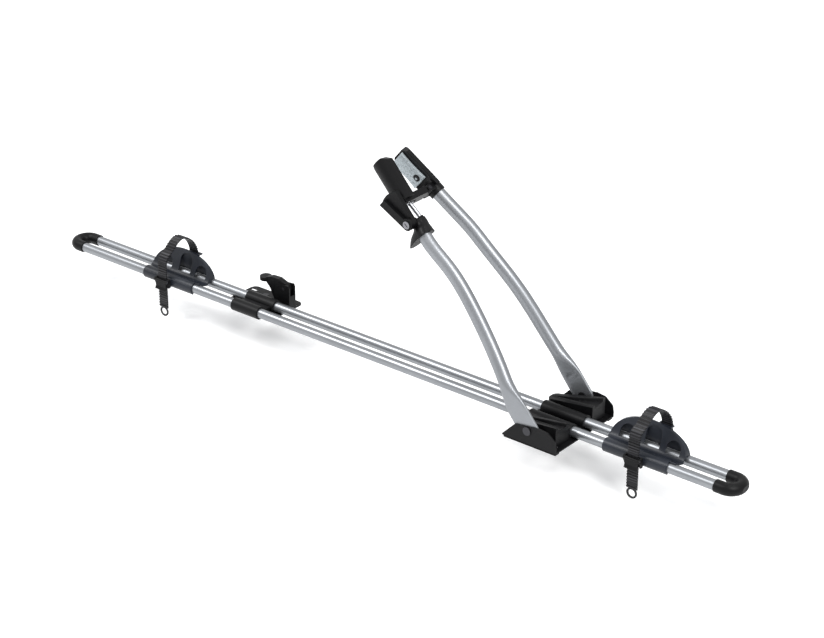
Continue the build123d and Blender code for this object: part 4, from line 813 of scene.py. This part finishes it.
def wedge(name, side, flute_depth, material):
    """Wedge beside an arm: its roof climbs to the right and outwards, with a triangular flute
    between two rounded ridges; its plan widens to the right and rounds at the left corners."""
    length = WEDGE_X[1] - WEDGE_X[0]
    bend = 1 - np.cos(np.linspace(0, np.pi / 2, WEDGE_CORNER_ROWS))
    straight = np.linspace(WEDGE_ROWS_START, 1, WEDGE_ROWS)
    u = np.concatenate([bend * WEDGE_CORNER / length, straight])
    v = np.linspace(0, 1, WEDGE_COLUMNS)
    missing = np.clip(WEDGE_CORNER - u * length, 0, None)
    corner = WEDGE_CORNER - np.sqrt(np.clip(WEDGE_CORNER**2 - missing**2, 0, None))
    widened = np.clip((u - WEDGE_WIDENS) / (1 - WEDGE_WIDENS), 0, None)
    inner = WEDGE_INNER_Y + corner
    outer = WEDGE_OUTER_Y[0] + (WEDGE_OUTER_Y[1] - WEDGE_OUTER_Y[0]) * widened - corner
    y = inner[:, None] + (outer - inner)[:, None] * v
    along = u[:, None]
    off = np.abs(v - 0.5) - FLUTE_SHARE * along
    half = RIDGE_SHARE / 2
    flute = np.clip(-off / FLUTE_BLEND, 0.0, 1.0)
    ridge = np.exp(-(((off - half) / half) ** 2)) * np.clip(along / RIDGE_START, 0, 1)
    roof = WEDGE_LOW + along * (WEDGE_CLIMB + WEDGE_CLIMB_OUT * v)
    roof = roof - flute_depth * flute + RIDGE_RISE * ridge
    x = WEDGE_X[0] + along * length
    top = np.stack(np.broadcast_arrays(x, y, roof), -1).reshape(-1, 3)
    rim = border(*roof.shape)
    foot = top[rim] * (1, 1, 0) + (0, 0, WEDGE_FLOOR)
    low = len(top) + np.arange(len(rim))
    faces = [*grid_faces(*roof.shape, False), *band_faces(rim, low), low[::-1]]
    points = np.concatenate([top, foot]) * (1, side, 1)
    piece(
        f"{name}_wedge", points, faces, material, "rails", [name],
        edge=WEDGE_EDGE,
    )


# Settings
def color_setting(name, description, default):
    return bpy.props.FloatVectorProperty(
        name=name, description=description, subtype="COLOR", default=default, min=0.0, max=1.0
    )


def size_setting(name, description, default, least, most):
    """A length with its default and limits in millimetres."""
    return bpy.props.FloatProperty(
        name=name, description=description, unit="LENGTH", precision=4,
        default=default * MM, min=least * MM, max=most * MM,
    )


class CarrierColors(bpy.types.PropertyGroup):
    """Colours that a user would change."""

    rail_color: color_setting("Rails", "Colour of the anodised rails and arms", (0.25, 0.26, 0.275))
    tray_color: color_setting("Wheel trays", "Colour of the wheel trays", (0.0095, 0.0115, 0.0165))
    black_color: color_setting("Black parts", "Colour of the black parts", (0.0028, 0.0028, 0.0032))
    pad_color: color_setting("Jaw pads", "Colour of the pale jaw pads", (0.36, 0.40, 0.42))


class CarrierSizes(bpy.types.PropertyGroup):
    """Sizes that a user would change."""

    dimple_depth: size_setting("Arm dimple", "Depth of the dimple in each arm", 1.6, 0.0, 3.0)
    wing_top: size_setting("Wing top", "Tray wing's height above the rails' axes", 48.0, 44.0, 49.0)
    wing_wall: size_setting("Wing wall", "Thickness of the tray wing's sheet", 2.6, 1.0, 3.0)
    tooth_pitch: size_setting("Strap teeth", "Distance from tooth to tooth", 4.4, 2.0, 10.0)
    tail_drop: size_setting("Socket tail", "How far the socket's tail sweeps down", 20.0, 0.0, 22.0)
    flute_depth: size_setting("Wedge flute", "Depth of the flute in each wedge", 5.0, 0.0, 9.0)
    pad_wall: size_setting("Pad wall", "Thickness of the jaw pads", 5.0, 2.0, 8.0)


# Operators
class CARRIER_OT_rails(bpy.types.Operator):
    """Dress the two drawn rails"""

    bl_idname = "carrier.rails"
    bl_label = "Dress Rails"

    def execute(self, context):
        color = tuple(context.scene.carrier_colors.rail_color)
        skin = aluminium("Rail aluminium", color, rough=0.34, stretch=(0.004, 1.0, 1.0))
        dress(("front_rail", "rear_rail"), skin)
        return {"FINISHED"}


class CARRIER_OT_arms(bpy.types.Operator):
    """Make the two bent arms with their flat paddles"""

    bl_idname = "carrier.arms"
    bl_label = "Make Arms"

    def execute(self, context):
        color = tuple(context.scene.carrier_colors.rail_color)
        dimple = context.scene.carrier_sizes.dimple_depth / MM
        stretch, turn = (0.01, 1.0, 1.0), (0.0, 0.82, 0.0)
        skin = aluminium("Arm aluminium", color, rough=0.4, stretch=stretch, turn=turn)
        arm("rear_arm", 1, REAR_TOP, REAR_BENDS, dimple, skin)
        arm("front_arm", -1, FRONT_TOP, FRONT_BENDS, dimple, skin)
        return {"FINISHED"}


class CARRIER_OT_trays(bpy.types.Operator):
    """Make the wheel trays: their wings and their clips"""

    bl_idname = "carrier.trays"
    bl_label = "Make Wheel Trays"

    def execute(self, context):
        sizes = context.scene.carrier_sizes
        color = tuple(context.scene.carrier_colors.tray_color)
        plastic = moulded("Tray plastic", color, rough=0.34, gloss=0.26)
        for side in TRAY_STARTS:
            tray_wing(side, sizes.wing_top / MM, sizes.wing_wall / MM, plastic)
            tray_clip(side, plastic)
        return {"FINISHED"}


class CARRIER_OT_straps(bpy.types.Operator):
    """Dress the toothed straps and their buckles"""

    bl_idname = "carrier.straps"
    bl_label = "Dress Straps"

    def execute(self, context):
        pitch = context.scene.carrier_sizes.tooth_pitch
        # Painted shade for the grooves and a painted highlight for the crests of the strap teeth
        painted_groove_shade, painted_crest_highlight = (0.003, 0.003, 0.0035), (0.03, 0.03, 0.034)
        dress("wheel_strap", toothed("Strap plastic", pitch, painted_groove_shade, painted_crest_highlight))
        dress(("buckle_body", "buckle_lever"), black_plastic(context))
        return {"FINISHED"}


class CARRIER_OT_socket(bpy.types.Operator):
    """Make the lever's socket, and dress the lever and its lock"""

    bl_idname = "carrier.socket"
    bl_label = "Make Lever Socket"

    def execute(self, context):
        lever_socket(context.scene.carrier_sizes.tail_drop / MM, black_plastic(context))
        dress("clamp_lever", black_plastic(context))
        dress("lock_cylinder", polished("Lock chrome", (0.2, 0.2, 0.215), rough=0.24))
        return {"FINISHED"}


class CARRIER_OT_foot(bpy.types.Operator):
    """Make the foot's wedges, and dress its saddle"""

    bl_idname = "carrier.foot"
    bl_label = "Make Foot"

    def execute(self, context):
        flute = context.scene.carrier_sizes.flute_depth / MM
        wedge("foot_gusset_rear", 1, flute, black_plastic(context))
        wedge("foot_gusset_front", -1, flute, black_plastic(context))
        dress("foot_saddle", black_plastic(context))
        return {"FINISHED"}


class CARRIER_OT_jaws(bpy.types.Operator):
    """Make the jaws' rubber pads and screw seats, and dress the jaws"""

    bl_idname = "carrier.jaws"
    bl_label = "Make Jaw Pads"

    def execute(self, context):
        wall = context.scene.carrier_sizes.pad_wall / MM
        rubber = speckled("Pale rubber", tuple(context.scene.carrier_colors.pad_color))
        dress(("rear_jaw", "front_jaw"), black_plastic(context))
        for name, side, body in (("rear", 1, "frame_holder"), ("front", -1, "moving_jaw")):
            jaw_pad(f"{name}_jaw_pad", side, body, wall, rubber)
            screw_seat(f"{name}_pad_screw", side, body, wall, black_plastic(context))
        return {"FINISHED"}


class CARRIER_OT_fittings(bpy.types.Operator):
    """Dress the end caps, the roof bar bracket, the coated plates and the rubber feet"""

    bl_idname = "carrier.fittings"
    bl_label = "Dress Fittings"

    def execute(self, context):
        dress(("end_cap", "bracket_saddle", "bracket_lever"), black_plastic(context))
        coat = moulded("Black coat", (0.003, 0.003, 0.0035), rough=0.42)
        dress(("foot_bracket", "bracket_plate"), coat)
        rubber = moulded("Black rubber", (0.006, 0.006, 0.006), rough=0.8)
        dress(("foot_pad", "bracket_pad"), rubber)
        return {"FINISHED"}


class CARRIER_OT_steel(bpy.types.Operator):
    """Dress the rod, pins, bolts and screws"""

    bl_idname = "carrier.steel"
    bl_label = "Dress Steel"

    def execute(self, context):
        plated = polished("Bright steel", (0.42, 0.43, 0.45), rough=0.3)
        dress(("clamp_rod", "rod_cross_pin", "lever_pin", "strap_anchor", "buckle_pin"), plated)
        dark = polished("Blackened steel", (0.05, 0.05, 0.055), rough=0.4)
        dress(
            ("arm_pin", "bracket_bolt", "bracket_lever_pin", "jaw_hinge_pin", "foot_screws"), dark
        )
        return {"FINISHED"}


# Stage
FLOOR_HALF = 30.0
FLOOR_LEVEL = -0.0685
FLOOR_GLOW = 0.3
FLOOR_ROUGH = 0.9
PALE = (0.9, 0.9, 0.9)
WHITE = (1.0, 1.0, 1.0, 1.0)
SKY = (0.95, 0.97, 1.0, 1.0)
SKY_STRENGTH = 0.42
# Lamps: place, aim, watts, width and height
LAMPS = {
    "Key": ((-2.4, -1.6, 3.0), (-0.4, 0.0, 0.1), 108.0, 2.2, 0.9),
    "Top": ((0.4, 0.6, 3.2), (-0.3, 0.0, 0.1), 28.0, 3.0, 0.8),
    "Side": ((1.95, -1.0, 2.35), (-0.15, 0.0, 0.15), 82.0, 0.95, 1.7),
}
CAMERA_PLACE = (1.8959, -2.7256, 1.8343)
CAMERA_AIM = (-0.5638, 0.6966, -0.4437)
CAMERA_ROLL = math.radians(0.125)
CAMERA_LENS = 100.41
CAMERA_SENSOR = 36.0
CAMERA_REACH = 100.0


def background_rays(graph):
    """1 for the rays that see the background as white, 0 for the rays that light the object."""
    seen = graph.add("ShaderNodeLightPath", output="Is Camera Ray")
    glossy, clear = seen.beside("Is Glossy Ray"), seen.beside("Is Transmission Ray")
    return seen.greater(glossy).greater(clear)


def floor(scene):
    """Pale floor that looks white and keeps the object's shadow."""
    mesh = bpy.data.meshes.new("Floor")
    corners = ((-1, -1), (1, -1), (1, 1), (-1, 1))
    points = [(x * FLOOR_HALF, y * FLOOR_HALF, FLOOR_LEVEL) for x, y in corners]
    mesh.from_pydata(points, [], [(0, 1, 2, 3)])
    made = bpy.data.objects.new("Floor", mesh)
    scene.collection.objects.link(made)
    s = Shade("Floor white", PALE, rough=FLOOR_ROUGH)
    s.set("Emission Strength", FLOOR_GLOW)
    s.set("Emission Color", background_rays(s))
    mesh.materials.append(s.mat)


def sky(scene):
    """Soft light all round, shown as white."""
    world = bpy.data.worlds.new("Studio")
    scene.world = world
    world.use_nodes = True
    graph = Graph(world.node_tree)
    soft = graph.tree.nodes["Background"]
    graph.feed(soft, {"Color": SKY, "Strength": SKY_STRENGTH})
    white = graph.add("ShaderNodeBackground", sockets={"Color": WHITE, "Strength": 1.0})
    shown = graph.add(
        "ShaderNodeMixShader",
        sockets={0: background_rays(graph), 1: Sock(graph, soft.outputs[0]), 2: white},
    )
    graph.feed(graph.tree.nodes["World Output"], {"Surface": shown})


def lamp(scene, name, place, aim, watts, wide, tall):
    """Rectangular area lamp at a place, turned to its aim."""
    data = bpy.data.lights.new(name, "AREA")
    data.shape = "RECTANGLE"
    data.energy = watts
    data.size = wide
    data.size_y = tall
    made = bpy.data.objects.new(name, data)
    made.location = place
    toward = Vector(aim) - Vector(place)
    made.rotation_euler = toward.to_track_quat("-Z", "Y").to_euler()
    scene.collection.objects.link(made)


def camera(scene):
    """Camera at the photograph's viewing angle."""
    data = bpy.data.cameras.new("Camera")
    data.sensor_fit = "HORIZONTAL"
    data.sensor_width = CAMERA_SENSOR
    data.lens = CAMERA_LENS
    data.clip_end = CAMERA_REACH
    made = bpy.data.objects.new("Camera", data)
    forward = Vector(CAMERA_AIM).normalized()
    right = forward.cross(Vector((0.0, 0.0, 1.0))).normalized()
    turn = Matrix((right, right.cross(forward), -forward)).transposed().to_4x4()
    roll = Matrix.Rotation(CAMERA_ROLL, 4, "Z")
    made.matrix_world = Matrix.Translation(CAMERA_PLACE) @ turn @ roll
    scene.collection.objects.link(made)
    scene.camera = made


class CARRIER_OT_stage(bpy.types.Operator):
    """Add the floor, the light and the camera"""

    bl_idname = "carrier.stage"
    bl_label = "Add Stage"

    def execute(self, context):
        floor(context.scene)
        sky(context.scene)
        for name, setting in LAMPS.items():
            lamp(context.scene, name, *setting)
        camera(context.scene)
        context.scene.view_settings.view_transform = "Standard"
        return {"FINISHED"}


class CARRIER_PT_panel(bpy.types.Panel):
    """Sidebar panel of the carrier"""

    bl_label = "Carrier"
    bl_idname = "CARRIER_PT_panel"
    bl_space_type = "VIEW_3D"
    bl_region_type = "UI"
    bl_category = "Carrier"

    def draw(self, context):
        for settings in (context.scene.carrier_colors, context.scene.carrier_sizes):
            for name in settings.__annotations__:
                self.layout.prop(settings, name)
        for operator in OPERATORS:
            self.layout.operator(operator.bl_idname)


OPERATORS = (
    CARRIER_OT_rails, CARRIER_OT_arms, CARRIER_OT_trays, CARRIER_OT_straps, CARRIER_OT_socket,
    CARRIER_OT_foot, CARRIER_OT_jaws, CARRIER_OT_fittings, CARRIER_OT_steel, CARRIER_OT_stage,
)
CLASSES = (CarrierColors, CarrierSizes, *OPERATORS, CARRIER_PT_panel)


def register():
    for cls in CLASSES:
        bpy.utils.register_class(cls)
    bpy.types.Scene.carrier_colors = bpy.props.PointerProperty(type=CarrierColors)
    bpy.types.Scene.carrier_sizes = bpy.props.PointerProperty(type=CarrierSizes)


def unregister():
    del bpy.types.Scene.carrier_colors
    del bpy.types.Scene.carrier_sizes
    for cls in reversed(CLASSES):
        bpy.utils.unregister_class(cls)


def main():
    register()
    bpy.ops.carrier.rails()
    bpy.ops.carrier.arms()
    bpy.ops.carrier.trays()
    bpy.ops.carrier.straps()
    bpy.ops.carrier.socket()
    bpy.ops.carrier.foot()
    bpy.ops.carrier.jaws()
    bpy.ops.carrier.fittings()
    bpy.ops.carrier.steel()
    bpy.ops.carrier.stage()


if __name__ == "__main__":
    main()
